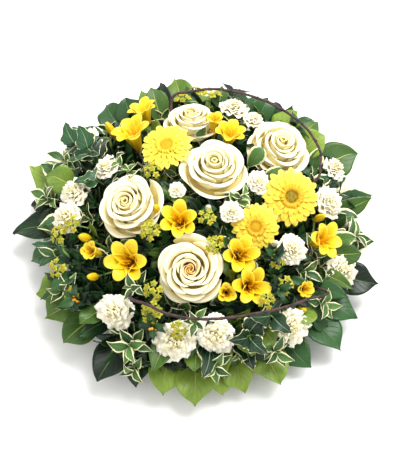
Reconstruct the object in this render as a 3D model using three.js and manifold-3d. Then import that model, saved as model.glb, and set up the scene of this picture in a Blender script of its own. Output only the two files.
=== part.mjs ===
// A funeral posy: a domed round cushion of roses, gerberas, freesias, spray carnations and mixed
// foliage, whose stems stand in a foam pad on a shallow dish. Millimetres, +Z up, base centre at 0.

import * as THREE from 'three';
import { mergeVertices } from 'three/addons/utils/BufferGeometryUtils.js';
import Module from 'manifold-3d';

const wasm = await Module();
wasm.setup();

// Driving sizes
const DISH = { foot: 104, rim: 121, height: 17, wall: 2.5 };
const FOAM = { radius: 115, base: 2.8, shoulder: 21, top: 55, bevel: 10, sides: 22 };
const DOME = { radius: 168, height: 113, base: 10 };

// Blade thicknesses
const PETAL = 0.9;
const ROSE_PETAL = 1.1;
const LEAF = 0.9;

// Stems by what they carry, branches as a share of them, petioles, and how far out of the foam a
// leafy stem parts into its petioles
const STEMS = {
  rose: { radius: 2.8, sides: 5 },
  gerbera: { radius: 2.4, sides: 5 },
  freesia: { radius: 1.6, sides: 4 },
  carnation: { radius: 1.5, sides: 4 },
  bupleurum: { radius: 1.2, sides: 4 },
  leaf: { radius: 1.6, sides: 4 },
  vine: { radius: 1.5, sides: 4 },
};
const PETIOLE = { radius: 1.2, sides: 3 };
const NODE_CLEAR = 8;
const BRANCH_SHARE = 0.85;

// Fits: the gap between parts that touch, how deep stems stand in the foam, how far their holes run
// on above it, and how far stems and branches run into what they carry
const FIT_GAP = 0.3;
const STEM_DEPTH = 25;
const HOLE_RUN = 30;
const STEM_LAP = 3;
const BRANCH_LAP = 2;

// Where heads face away from, and the side that the posy is seen from
const FACE_FOCUS = new THREE.Vector3(0, 25, -110);
const UP = new THREE.Vector3(0, 0, 1);
const VIEWER = new THREE.Vector3(0, -0.5, 0.87).normalize();

// Forks: their distance from the base centre, the least stem out of the foam under one and in front
// of one, and how far a branch bows out
const FORK_REACH = 70;
const FORK_CLEAR = 12;
const FORK_NECK = 8;
const BRANCH_RISE = 1.05;

// Meshing: steps along a twig, how far merging small faces may move them, and how far apart two
// sites can be and still need parting
const TWIG_STEPS = 12;
const SMOOTH = 0.1;
const CELL_REACH = THREE.MathUtils.degToRad(50);

const COLOURS = {
  dish: { color: 0x2e4a30, roughness: 0.55 },
  foam: { color: 0x2f5a35, roughness: 0.95 },
  rose: { color: 0xf7f2dc, roughness: 0.6 },
  stem: { color: 0x5f7f3a, roughness: 0.65 },
  gerbera: { color: 0xf6dc3c, roughness: 0.6 },
  freesia: { color: 0xf9c917, roughness: 0.55 },
  carnation: { color: 0xf8f7ef, roughness: 0.7 },
  dark: { color: 0x2a4a2a, roughness: 0.4 },
  light: { color: 0x8fa63f, roughness: 0.5 },
  variegated: { color: 0xa9b878, roughness: 0.55 },
  bupleurum: { color: 0xb2b63a, roughness: 0.65 },
  vine: { color: 0x4a2b26, roughness: 0.7 },
};

// A place on the posy: bearing in degrees round +Z from +X, distance out from the axis, and lift
// above the dome that the heads' faces share.
function domePoint([bearing, out, lift = 0]) {
  const turn = THREE.MathUtils.degToRad(bearing);
  const height = DOME.height * Math.sqrt(Math.max(0, 1 - (out / DOME.radius) ** 2));
  return new THREE.Vector3(out * Math.cos(turn), out * Math.sin(turn), DOME.base + height + lift);
}

// The way a head at a point faces, nodded towards the side that the posy is seen from.
function facing(point, nod = 0) {
  const outward = point.clone().sub(FACE_FOCUS).normalize();
  const axis = outward.clone().cross(VIEWER);
  if (nod === 0 || axis.lengthSq() < 1e-6) return outward;
  return outward.applyAxisAngle(axis.normalize(), THREE.MathUtils.degToRad(nod));
}

// The matrix that stands a head, modelled up +Z, at a point, turned about its own axis by spin.
function standAt(point, up, spin = 0) {
  const turn = new THREE.Quaternion().setFromUnitVectors(UP, up);
  const own = new THREE.Quaternion().setFromAxisAngle(UP, THREE.MathUtils.degToRad(spin));
  return new THREE.Matrix4().compose(point, turn.multiply(own), new THREE.Vector3(1, 1, 1));
}

// A closed geometry as a solid with its faces outward.
function solid(geometry) {
  const plain = geometry.clone();
  plain.deleteAttribute('normal');
  plain.deleteAttribute('uv');
  const merged = mergeVertices(plain, 1e-4);
  const vertProperties = new Float32Array(merged.attributes.position.array);
  const triVerts = [];
  for (let i = 0; i < merged.index.count; i += 3) {
    const [a, b, c] = [0, 1, 2].map((k) => merged.index.getX(i + k));
    if (a !== b && b !== c && a !== c) triVerts.push(a, b, c);
  }
  const wound = (corners) => new wasm.Manifold(
    new wasm.Mesh({ numProp: 3, vertProperties, triVerts: new Uint32Array(corners) }),
  );
  const body = wound(triVerts);
  return body.volume() < 0 ? wound(triVerts.reverse()) : body;
}

function join(bodies) {
  return bodies.reduce((whole, body) => whole.add(body));
}

function largestBody(body) {
  return body.decompose().reduce((best, one) => (one.volume() > best.volume() ? one : best));
}

function toGeometry(body) {
  const mesh = body.getMesh();
  const geometry = new THREE.BufferGeometry();
  geometry.setAttribute('position', new THREE.BufferAttribute(mesh.vertProperties, 3));
  geometry.setIndex(new THREE.BufferAttribute(mesh.triVerts, 1));
  geometry.computeVertexNormals();
  return geometry;
}

// A closed thin shell gathered from sheets. A sheet follows surface(u, v), u from -1 to 1 across and
// v from 0 to 1 along, and both its faces are split into triangles alike.
class Shell {
  constructor(thick) {
    this.thick = thick;
    this.positions = [];
    this.indices = [];
  }

  vertex(point) {
    this.positions.push(point.x, point.y, point.z);
    return this.positions.length / 3 - 1;
  }

  // The wall under an edge that runs from p to q on the top face.
  wall([p, pUnder], [q, qUnder]) {
    this.indices.push(q, p, pUnder, q, pUnder, qUnder);
  }

  // Adds a sheet with its walls, apart from the one at its root, and gives back its root edge as
  // pairs of vertices, top and under.
  sheet(surface, [across, along]) {
    const step = 0.01; // for the slopes, in u and v
    const pairs = [];
    for (let j = 0; j <= along; j += 1) {
      for (let i = 0; i <= across; i += 1) {
        const [u, v] = [-1 + (2 * i) / across, j / along];
        const overU = surface(u + step, v).sub(surface(u - step, v));
        const overV = surface(u, v + step).sub(surface(u, v - step));
        const half = overV.cross(overU).normalize().multiplyScalar(this.thick / 2);
        pairs.push([this.vertex(surface(u, v).add(half)), this.vertex(surface(u, v).sub(half))]);
      }
    }
    const at = (i, j) => pairs[j * (across + 1) + i];
    for (let j = 0; j < along; j += 1) {
      for (let i = 0; i < across; i += 1) {
        const [a, b, c, d] = [at(i, j), at(i + 1, j), at(i + 1, j + 1), at(i, j + 1)];
        this.indices.push(a[0], c[0], b[0], a[0], d[0], c[0]);
        this.indices.push(a[1], b[1], c[1], a[1], c[1], d[1]);
      }
      this.wall(at(across, j + 1), at(across, j));
      this.wall(at(0, j), at(0, j + 1));
    }
    for (let i = 0; i < across; i += 1) this.wall(at(i, along), at(i + 1, along));
    return pairs.slice(0, across + 1);
  }

  // Adds a ring of petals round +Z and gives back the two loops of its roots. The profile runs from
  // root to rim as control points (radius, height) in head sizes. Widths are shares of a petal's
  // place in the ring at its root, middle and rim. Lap and tilt set one edge of each petal outside
  // and above the next one.
  ring(size, { count, profile, widths, grid, shift = 0, lap = 0, tilt = 0, round = 0, inner = 1 }) {
    const [start, first, second, end] = profile.map(([radius, height]) => new THREE.Vector2(radius, height));
    const curve = new THREE.CubicBezierCurve(start, first, second, end);
    const [root, middle, rim] = widths;
    const place = (2 * Math.PI) / count;
    const roots = [];
    for (let k = 0; k < count; k += 1) {
      const scale = size * (k % 2 === 0 ? 1 : inner);
      roots.push(this.sheet((u, v) => {
        const along = curve.getPoint(v * (1 - round * u * u)).multiplyScalar(scale);
        const share = root * (1 - v) * (1 - 2 * v) + 4 * middle * v * (1 - v) + rim * v * (2 * v - 1);
        const swing = (k + shift + 0.5 * u * share) * place;
        const radius = along.x + lap * size * u * v;
        const height = along.y + tilt * size * u * v;
        return new THREE.Vector3(radius * Math.cos(swing), radius * Math.sin(swing), height);
      }, grid));
    }
    roots.forEach((edge, k) => this.wall(edge[edge.length - 1], roots[(k + 1) % count][0]));
    const pairs = roots.flat();
    return { over: pairs.map((pair) => pair[0]), under: pairs.map((pair) => pair[1]) };
  }

  // A plain loop of vertices round +Z.
  loop(radius, height, count) {
    const corners = [];
    for (let i = 0; i < count; i += 1) {
      const turn = (2 * Math.PI * i) / count;
      corners.push(this.vertex(new THREE.Vector3(radius * Math.cos(turn), radius * Math.sin(turn), height)));
    }
    return corners;
  }

  // Fans a loop to a point on the axis, seen from above or, if under is set, from below.
  cap(loop, height, under = false) {
    const apex = this.vertex(new THREE.Vector3(0, 0, height));
    loop.forEach((p, i) => {
      const q = loop[(i + 1) % loop.length];
      this.indices.push(...(under ? [q, p, apex] : [p, q, apex]));
    });
  }

  // Stitches a loop to the one above it, whatever their counts, in the order of their bearings.
  band(lower, upper) {
    const full = 2 * Math.PI;
    const bearing = (index) => Math.atan2(this.positions[3 * index + 1], this.positions[3 * index]);
    const from = bearing(lower[0]);
    const after = (index) => (bearing(index) - from + full) % full;
    const first = upper.reduce((best, index, i) => (after(index) < after(upper[best]) ? i : best), 0);
    const [low, high] = [[...lower], [...upper.slice(first), ...upper.slice(0, first)]];
    const angles = [low, high].map((loop) => [...loop.map(after), after(loop[0]) + full]);
    let [i, j] = [0, 0];
    while (i < low.length || j < high.length) {
      const lowNext = low[(i + 1) % low.length];
      const highNext = high[(j + 1) % high.length];
      const [lowHere, highHere] = [low[i % low.length], high[j % high.length]];
      if (j === high.length || (i < low.length && angles[0][i + 1] <= angles[1][j + 1])) {
        this.indices.push(lowHere, lowNext, highHere);
        i += 1;
      } else {
        this.indices.push(highNext, highHere, lowHere);
        j += 1;
      }
    }
  }

  solid() {
    const geometry = new THREE.BufferGeometry();
    geometry.setAttribute('position', new THREE.BufferAttribute(new Float32Array(this.positions), 3));
    geometry.setIndex(this.indices);
    return solid(geometry);
  }
}

// One blade on its own.
function blade(surface, grid, thick) {
  const shell = new Shell(thick);
  const root = shell.sheet(surface, grid);
  for (let i = 0; i < root.length - 1; i += 1) shell.wall(root[i + 1], root[i]);
  return shell.solid();
}

// A head in one closed shell, from the point under it up: its rings of petals, the plain loops
// (radius, height, count) above them and the point on top, in head sizes.
function head(size, { foot, rings, loops = [], top, thick = PETAL }) {
  const shell = new Shell(thick);
  let over = null;
  for (const ring of rings) {
    const roots = shell.ring(size, ring);
    if (over) shell.band(over, roots.under);
    else shell.cap(roots.under, foot * size, true);
    over = roots.over;
  }
  for (const [radius, height, count] of loops) {
    const next = shell.loop(radius * size, height * size, count);
    shell.band(over, next);
    over = next;
  }
  shell.cap(over, top * size);
  return shell.solid();
}

function polygon(radius, sides) {
  const corners = [];
  for (let i = 0; i < sides; i += 1) {
    const turn = (i * 2 * Math.PI) / sides;
    corners.push(new THREE.Vector2(radius * Math.cos(turn), radius * Math.sin(turn)));
  }
  return new THREE.Shape(corners);
}

// A round rod along a smooth curve through the points.
function rod(points, radius, steps, sides) {
  const path = points.length > 2 ? new THREE.CatmullRomCurve3(points) : new THREE.LineCurve3(...points);
  const sweep = { steps, extrudePath: path, bevelEnabled: false };
  return solid(new THREE.ExtrudeGeometry(polygon(radius, sides), sweep));
}

function lathe(profile, sides, size = 1) {
  const points = profile.map(([radius, height]) => new THREE.Vector2(radius * size, height * size));
  return solid(new THREE.LatheGeometry(points, sides).rotateX(Math.PI / 2));
}

// A rose: three rings of petals, from the outermost in, round a tight bud.
function roseHead(size) {
  return head(size, {
    foot: 0,
    rings: [
      { count: 5, widths: [0.84, 1.16, 1.1], lap: 0.09, round: 0.12, grid: [3, 2],
        profile: [[0.22, 0.08], [0.85, 0], [0.9, 0.62], [0.95, 0.48]] },
      { count: 5, widths: [0.84, 1.16, 1.1], lap: 0.07, round: 0.12, shift: 0.45, grid: [2, 2],
        profile: [[0.18, 0.2], [0.66, 0.16], [0.66, 0.84], [0.7, 0.74]] },
      { count: 3, widths: [0.84, 1.14, 1.12], lap: 0.07, round: 0.1, shift: 0.2, grid: [2, 2],
        profile: [[0.15, 0.32], [0.46, 0.3], [0.38, 0.94], [0.42, 0.86]] },
    ],
    loops: [[0.16, 0.66, 5]],
    top: 0.92,
    thick: ROSE_PETAL,
  });
}

// The green cup and five pointed sepals under a head, modelled downwards from its flat seat.
function calyx(size) {
  const seat = -FIT_GAP / size;
  const sepals = { count: 5, widths: [0.6, 0.5, 0.1], grid: [1, 1],
    profile: [[0.18, -0.09], [0.3, -0.1], [0.4, -0.14], [0.6, -0.28]] };
  return head(size, { foot: -0.34, rings: [sepals], loops: [[0.24, seat, 5]], top: seat });
}

// The plain cup under a gerbera.
function gerberaCup(size) {
  const seat = -FIT_GAP / size;
  return lathe([[0, seat], [0.26, seat], [0.2, -0.16], [0, -0.34]], 8, size);
}

function gerberaHead(size) {
  return head(size, {
    foot: 0,
    rings: [
      { count: 14, widths: [0.6, 0.88, 0.5], grid: [1, 2],
        profile: [[0.24, 0.06], [0.5, 0.1], [0.8, 0.17], [1, 0.08]] },
      { count: 11, shift: 0.4, widths: [0.6, 0.82, 0.6], grid: [1, 1],
        profile: [[0.24, 0.15], [0.42, 0.2], [0.62, 0.26], [0.8, 0.22]] },
    ],
    loops: [[0.21, 0.26, 8]],
    top: 0.2,
  });
}

// A freesia flower: a funnel of six tepals, every second one set in. Open runs from 0, shut, to 1.
function freesiaFlower(size, open) {
  const spread = 0.35 + 0.65 * open;
  const length = 1.35 - 0.3 * open;
  const tepals = { count: 6, widths: [0.7, 1, 0.5], inner: 0.84, grid: [1, open > 0.5 ? 2 : 1],
    profile: [[0.2, 0], [0.32, 0.45 * length], [0.75 * spread, 0.85 * length], [spread, length]] };
  return head(size, { foot: -0.7, rings: [tepals], top: 0.1 });
}

// A slim bud, pointing up +Z.
function bud(size) {
  return lathe([[0, -0.6], [0.34, 0.4], [0, 1.3]], 5, size);
}

// A spray carnation: a green tube and rings of fan-shaped petals that lean past each other.
function carnationHead(size, rings) {
  return head(size, {
    foot: -0.5,
    rings: rings.map((count, row) => ({
      count, widths: [0.7, 0.95, 1.2], shift: row * 0.5, tilt: 0.1, grid: [1, 1],
      profile: [[0.22, 0.1 + 0.16 * row], [0.4, 0.14 + 0.16 * row], [0.6, 0.3],
        [1 - 0.45 * row, 0.42 + 0.2 * row]],
    })),
    top: 0.5,
  });
}

// A leaf from base to tip, arched up its middle by arch and folded along its rib.
function leaf({ base, tip, width, arch = 8, fold = 0.25, grid = [2, 3] }) {
  const middle = base.clone().add(tip).multiplyScalar(0.5);
  const up = middle.clone().sub(FACE_FOCUS).normalize();
  const rib = new THREE.QuadraticBezierCurve3(base, middle.addScaledVector(up, 2 * arch), tip);
  const side = up.clone().cross(tip.clone().sub(base)).normalize();
  const surface = (u, v) => {
    const along = THREE.MathUtils.clamp(v, 0, 1);
    const half = 0.5 * width * (0.07 + 0.93 * Math.sin(Math.PI * along ** 0.85));
    return rib.getPoint(v).addScaledVector(side, u * half).addScaledVector(up, fold * Math.abs(u) * half);
  };
  return blade(surface, grid, LEAF);
}

// A tuft of small bracts round a bead, as on bupleurum.
function bractTuft(size) {
  const bracts = { count: 4, widths: [0.6, 0.8, 0.5], tilt: 0.08, grid: [1, 1],
    profile: [[0.28, 0], [0.5, 0.05], [0.7, 0.15], [1, 0.14]] };
  return head(size, { foot: -0.4, rings: [bracts], top: 0.4 });
}

// The large blooms: kind, place on the dome, size, spin about its own axis and nod to the viewer.
const FLOWERS = [
  { name: 'rose_left', kind: 'rose', at: [191, 70, 0], size: 33, spin: 10 },
  { name: 'rose_top', kind: 'rose', at: [60, 31, 0], size: 32, spin: 40 },
  { name: 'rose_front', kind: 'rose', at: [265, 84, 0], size: 33, spin: 75 },
  { name: 'rose_right', kind: 'rose', at: [38, 106, 0], size: 32, spin: 110, nod: 14 },
  { name: 'rose_back', kind: 'rose', at: [94, 100, -4], size: 27, spin: 30 },
  { name: 'gerbera_left', kind: 'gerbera', at: [122, 58, 0], size: 27, spin: 0, nod: 6 },
  { name: 'gerbera_right', kind: 'gerbera', at: [358, 90, 0], size: 29, spin: 8, nod: 22 },
  { name: 'gerbera_low', kind: 'gerbera', at: [326, 66, -8], size: 24, spin: 4, nod: 15 },
];

// Sprays: one stem each, with heads on branches. A head is [kind, place, size, spin].
const SPRAYS = [
  { name: 'freesia_back_left', colour: 'freesia',
    heads: [['flower', [130, 106, 2], 22], ['flower', [116, 130, 6], 17, 30], ['bud', [132, 140, 4], 12]] },
  { name: 'freesia_back', colour: 'freesia',
    heads: [['flower', [66, 80], 18, 15], ['shut', [79, 90, 5], 15]] },
  { name: 'freesia_centre', colour: 'freesia',
    heads: [['flower', [243, 40], 21, 20], ['bud', [207, 46], 11]] },
  { name: 'freesia_left', colour: 'freesia',
    heads: [['flower', [226, 99], 23], ['shut', [207, 118], 16], ['bud', [197, 120, -3], 12],
      ['bud', [216, 130, -2], 11]] },
  { name: 'freesia_mid', colour: 'freesia', heads: [['flower', [301, 80], 20, 10], ['bud', [292, 58], 9]] },
  { name: 'freesia_front', colour: 'freesia',
    heads: [['flower', [298, 109], 20], ['shut', [285, 107], 16, 40]] },
  { name: 'freesia_right', colour: 'freesia',
    heads: [['flower', [343, 131, 4], 20, 5], ['bud', [354, 124, 2], 10]] },
  { name: 'freesia_low', colour: 'freesia',
    heads: [['shut', [320, 136, -2], 15], ['bud', [315, 146, -4], 9]] },
  { name: 'carnation_left', colour: 'carnation',
    heads: [['large', [172, 126], 18], ['small', [184, 131], 17], ['small', [159, 98], 13]] },
  { name: 'carnation_back_left', colour: 'carnation',
    heads: [['small', [140, 150, 3], 13], ['bud', [147, 146], 7]] },
  { name: 'carnation_front_left', colour: 'carnation', heads: [['large', [234, 138], 19]] },
  { name: 'carnation_front', colour: 'carnation',
    heads: [['large', [277, 138], 20, 20], ['large', [261, 143], 21]] },
  { name: 'carnation_front_right', colour: 'carnation', heads: [['large', [307, 151], 20]] },
  { name: 'carnation_low', colour: 'carnation', heads: [['large', [329, 107], 16], ['bud', [325, 92], 8]] },
  { name: 'carnation_rim', colour: 'carnation', heads: [['large', [339, 156], 20]] },
  { name: 'carnation_right', colour: 'carnation',
    heads: [['large', [4, 133], 18], ['small', [25, 156], 15]] },
  { name: 'carnation_back', colour: 'carnation',
    heads: [['large', [73, 128], 16], ['small', [60, 113], 12]] },
  { name: 'carnation_top', colour: 'carnation',
    heads: [['large', [10, 60, -1], 13], ['small', [320, 42], 12]] },
  { name: 'carnation_centre', colour: 'carnation',
    heads: [['small', [187, 20, -3], 9], ['bud', [295, 24, -2], 8]] },
  { name: 'bupleurum_back', colour: 'bupleurum',
    heads: [['tuft', [85, 148, 8], 13], ['tuft', [97, 138, 2], 11]] },
  { name: 'bupleurum_left', colour: 'bupleurum',
    heads: [['tuft', [203, 150, 3], 12], ['tuft', [191, 140, 3], 12], ['tuft', [216, 151, 4], 11]] },
  { name: 'bupleurum_upper', colour: 'bupleurum', heads: [['tuft', [152, 50, -4], 11]] },
  { name: 'bupleurum_inner', colour: 'bupleurum', heads: [['tuft', [222, 60, -4], 10]] },
  { name: 'bupleurum_front', colour: 'bupleurum',
    heads: [['tuft', [250, 128], 11], ['tuft', [247, 108, -2], 11]] },
  { name: 'bupleurum_right', colour: 'bupleurum',
    heads: [['tuft', [318, 102, -2], 10], ['tuft', [313, 122, -3], 11]] },
];

const HEADS = {
  flower: (size) => freesiaFlower(size, 1),
  shut: (size) => freesiaFlower(size, 0.25),
  bud: (size) => bud(size),
  large: (size) => carnationHead(size, [6, 4]),
  small: (size) => carnationHead(size, [6]),
  tuft: (size) => bractTuft(size),
};

// How far a head's seat lies behind its face, and its root behind its seat, in head sizes.
const HEAD_DEPTH = {
  rose: 0.8, gerbera: 0.2, flower: 1.05, shut: 1.3, bud: 1.3, large: 0.7, small: 0.6, tuft: 0.3,
};
const HEAD_ROOT = {
  rose: 0.26, gerbera: 0.26, flower: 0.6, shut: 0.6, bud: 0.5, large: 0.45, small: 0.45, tuft: 0.35,
};

// Leafy stems round the rim and within the dome. A leaf is [bearing, out at its base, out at its
// tip, height of base, height of tip, width], and stem is [bearing, lean from upright].
const LEAFY = [
  { name: 'leaf_dark_left', colour: 'dark', stem: [180, 80],
    leaves: [[179, 128, 187, 30, 22, 34], [189, 126, 170, 30, 20, 28], [170, 126, 172, 34, 34, 28]] },
  { name: 'leaf_light_left', colour: 'light', stem: [156, 79],
    leaves: [[157, 126, 186, 30, 42, 40], [147, 126, 172, 30, 22, 32], [164, 122, 158, 52, 68, 30]] },
  { name: 'leaf_dark_back_left', colour: 'dark', stem: [129, 78],
    leaves: [[136, 126, 182, 34, 34, 34], [122, 126, 184, 32, 34, 34], [118, 120, 158, 50, 68, 32]] },
  { name: 'leaf_light_back', colour: 'light', stem: [102, 78],
    leaves: [[98, 128, 184, 34, 44, 34], [109, 126, 182, 30, 34, 34], [89, 128, 176, 26, 24, 34],
      [108, 118, 156, 54, 74, 26]] },
  { name: 'leaf_dark_back_right', colour: 'dark', stem: [66, 78],
    leaves: [[76, 128, 180, 32, 34, 34], [63, 128, 182, 30, 30, 34], [63, 122, 158, 50, 66, 26],
      [79, 124, 160, 46, 60, 22]] },
  { name: 'leaf_light_right', colour: 'light', stem: [38, 78],
    leaves: [[28, 128, 186, 30, 44, 40], [47, 128, 184, 30, 32, 36], [50, 120, 158, 50, 68, 34],
      [36, 120, 158, 52, 70, 30]] },
  { name: 'leaf_variegated_right', colour: 'variegated', stem: [6, 79],
    leaves: [[14, 128, 184, 28, 32, 30], [356, 128, 176, 30, 34, 28], [3, 124, 160, 38, 46, 20]] },
  { name: 'leaf_dark_right', colour: 'dark', stem: [338, 81],
    leaves: [[343, 128, 187, 24, 24, 34], [330, 128, 180, 22, 18, 32]] },
  { name: 'leaf_dark_front_right', colour: 'dark', stem: [315, 80],
    leaves: [[318, 128, 187, 26, 18, 36], [308, 128, 178, 22, 14, 32]] },
  { name: 'leaf_light_front_right', colour: 'light', stem: [294, 79],
    leaves: [[296, 126, 180, 26, 22, 40], [285, 128, 174, 24, 16, 32], [297, 120, 158, 48, 64, 28],
      [289, 120, 156, 46, 54, 28]] },
  { name: 'leaf_light_front', colour: 'light', stem: [268, 80],
    leaves: [[269, 126, 184, 26, 20, 40], [259, 126, 176, 26, 20, 34], [278, 128, 172, 22, 14, 30],
      [269, 124, 160, 42, 46, 24]] },
  { name: 'leaf_dark_front_left', colour: 'dark', stem: [243, 80],
    leaves: [[239, 126, 187, 28, 24, 38], [250, 126, 174, 26, 18, 30], [247, 122, 162, 44, 50, 28]] },
  { name: 'leaf_light_front_left', colour: 'light', stem: [217, 80],
    leaves: [[212, 126, 176, 28, 26, 36], [223, 126, 178, 28, 28, 34], [202, 126, 172, 26, 22, 32],
      [225, 122, 160, 44, 54, 22]] },
  { name: 'leaf_variegated_top', colour: 'variegated', stem: [30, 34],
    leaves: [[38, 62, 80, 92, 112, 18], [20, 64, 86, 86, 106, 16]] },
  { name: 'leaf_dark_shoulder', colour: 'dark', stem: [150, 60],
    leaves: [[152, 106, 140, 62, 76, 32], [160, 112, 146, 54, 62, 24]] },
];

// Bare twigs that arch over the heads, by the dome places that they pass. Both ends go down into
// the foam between the heads.
const TWIGS = [
  { name: 'twig_back',
    route: [[101, 124, 0], [96, 130, 11], [80, 135, 15], [62, 140, 15], [44, 142, 15], [28, 136, 14],
      [16, 124, 11], [12, 114, 0]] },
  { name: 'twig_front',
    route: [[240, 120, 0], [246, 124, 11], [258, 128, 14], [272, 130, 15], [288, 132, 15], [304, 138, 14],
      [318, 145, 11], [325, 148, 0]] },
];

// Every site holds a share of the dome: a direction from the base centre and a half-angle.
const sites = [];

function addSite(owner, point, size) {
  const site = { owner, way: point.clone().normalize(), half: Math.atan(size / point.length()) };
  sites.push(site);
  return site;
}

// The plane through the base centre that parts two sites, nearer to the smaller of the two.
function parting(site, other) {
  const angle = site.way.angleTo(other.way);
  const axis = site.way.clone().cross(other.way).normalize();
  const split = (angle * site.half) / (site.half + other.half);
  const inward = site.way.clone().applyAxisAngle(axis, split).cross(axis).normalize();
  return inward.dot(site.way) < 0 ? inward.negate() : inward;
}

function lowestAlong(body, way) {
  const { vertProperties } = body.getMesh();
  let lowest = Infinity;
  for (let i = 0; i < vertProperties.length; i += 3) {
    const reach = way.x * vertProperties[i] + way.y * vertProperties[i + 1] + way.z * vertProperties[i + 2];
    lowest = Math.min(lowest, reach);
  }
  return lowest;
}

// Cuts a body by every plane that parts one site from other owners' sites.
function trimBySite(site, body) {
  const inwards = sites
    .filter((other) => other.owner !== site.owner && site.way.angleTo(other.way) < CELL_REACH)
    .map((other) => parting(site, other));
  return inwards.reduce(trimIfReached, body);
}

function trimIfReached(body, inward) {
  return lowestAlong(body, inward) < FIT_GAP / 2 ? body.trimByPlane(inward.toArray(), FIT_GAP / 2) : body;
}

// Cuts stems and branches, which may run through the shares of several sites of their owner. A
// point is kept where it lies on one of the owner's sides of every site of each other owner.
function trimByOwner(owner, body) {
  const own = sites.filter((site) => site.owner === owner);
  const rivals = [...new Set(sites.map((site) => site.owner))].filter((name) => name !== owner);
  let kept = body;
  for (const rival of rivals) {
    const others = sites.filter((site) => site.owner === rival);
    const cuts = own.map((site) => others
      .filter((other) => site.way.angleTo(other.way) < CELL_REACH)
      .map((other) => parting(site, other))
      .filter((inward) => lowestAlong(kept, inward) < FIT_GAP / 2));
    if (cuts.some((planes) => planes.length === 0)) continue;
    kept = join(cuts.map((planes) => planes.reduce(trimIfReached, kept)));
  }
  return kept.asOriginal();
}

// Where a straight stem towards a point leaves the foam.
function foamExit(way) {
  const out = Math.hypot(way.x, way.y);
  const throughTop = FOAM.top / way.z;
  return out * throughTop < FOAM.radius ? throughTop : FOAM.radius / out;
}

const holes = [];

// A straight stem out of the foam along a direction, up to a reach from the base centre.
function stemFromFoam(way, reach, { radius, sides }) {
  const foot = foamExit(way) - STEM_DEPTH;
  const rodAlong = (from, to, thick) => {
    const cylinder = new THREE.CylinderGeometry(thick, thick, to - from, sides).rotateX(Math.PI / 2);
    return solid(cylinder.applyMatrix4(standAt(way.clone().multiplyScalar((from + to) / 2), way)));
  };
  const holeRadius = radius + FIT_GAP / Math.cos(Math.PI / sides);
  holes.push(rodAlong(foot - FIT_GAP, foamExit(way) + HOLE_RUN, holeRadius));
  return rodAlong(foot, reach, radius);
}

function place(body, matrix) {
  return body.transform(matrix.elements);
}

const parts = [];

// Lists a part by its heads or leaves, each with its site, and the stems that carry them.
function addPart(name, colour, owner, blooms, stems) {
  parts.push({ name, colour, owner, blooms, stems });
}

function buildDish() {
  const { foot, rim, height, wall } = DISH;
  const profile = [[0, 0], [foot, 0], [rim, height], [rim - wall, height], [foot - wall, wall], [0, wall]];
  addPart('dish', 'dish', null, [], [lathe(profile, FOAM.sides)]);
}

function buildFoam() {
  const { radius, base, shoulder, top, bevel, sides } = FOAM;
  const footRadius = DISH.foot - DISH.wall - 1;
  const profile = [[0, base], [footRadius, base], [radius, shoulder], [radius, top - bevel],
    [radius - bevel, top], [0, top]];
  const pad = holes.reduce((foam, hole) => foam.subtract(hole), lathe(profile, sides));
  addPart('foam', 'foam', null, [], [pad]);
}

function buildFlower({ name, kind, at, size, spin, nod }) {
  const face = domePoint(at);
  const up = facing(face, nod);
  const depth = HEAD_DEPTH[kind] * size;
  const seat = face.clone().addScaledVector(up, -depth);
  const stand = standAt(seat, up, spin);
  const neck = seat.clone().addScaledVector(up, -HEAD_ROOT[kind] * size);
  const way = neck.clone().normalize();
  const site = addSite(name, face.clone().addScaledVector(up, -0.4 * depth), size);
  const bloom = place(kind === 'rose' ? roseHead(size) : gerberaHead(size), stand);
  const cup = place(kind === 'rose' ? calyx(size) : gerberaCup(size), stand);
  const stem = stemFromFoam(way, neck.length() + STEM_LAP, STEMS[kind]);
  addPart(`${name}_head`, kind, name, [{ body: bloom, site }], []);
  addPart(`${name}_stem`, 'stem', name, [{ body: cup, site }], [stem]);
}

function buildSpray({ name, colour, heads }) {
  const blooms = [];
  const stems = [];
  let fork = null;
  heads.forEach(([kind, at, size, spin = 0], index) => {
    const face = domePoint(at);
    const up = facing(face);
    const seat = face.clone().addScaledVector(up, -HEAD_DEPTH[kind] * size);
    const root = seat.clone().addScaledVector(up, -HEAD_ROOT[kind] * size);
    const site = addSite(name, face.clone().addScaledVector(up, -0.4 * size), size);
    blooms.push({ body: place(HEADS[kind](size), standAt(seat, up, spin)), site });
    if (index === 0) {
      const way = root.clone().normalize();
      const reach = Math.max(FORK_REACH, foamExit(way) + FORK_CLEAR);
      fork = way.clone().multiplyScalar(Math.min(reach, root.length() - FORK_NECK));
      stems.push(stemFromFoam(way, root.length() + BRANCH_LAP, STEMS[colour]));
    } else {
      const bend = fork.clone().lerp(root, 0.5).multiplyScalar(BRANCH_RISE);
      const end = root.clone().addScaledVector(up, BRANCH_LAP);
      const { radius, sides } = STEMS[colour];
      stems.push(rod([fork, bend, end], BRANCH_SHARE * radius, 2, sides));
    }
  });
  addPart(name, colour, name, blooms, stems);
}

function polarPoint(bearing, out, height) {
  const turn = THREE.MathUtils.degToRad(bearing);
  return new THREE.Vector3(out * Math.cos(turn), out * Math.sin(turn), height);
}

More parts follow.
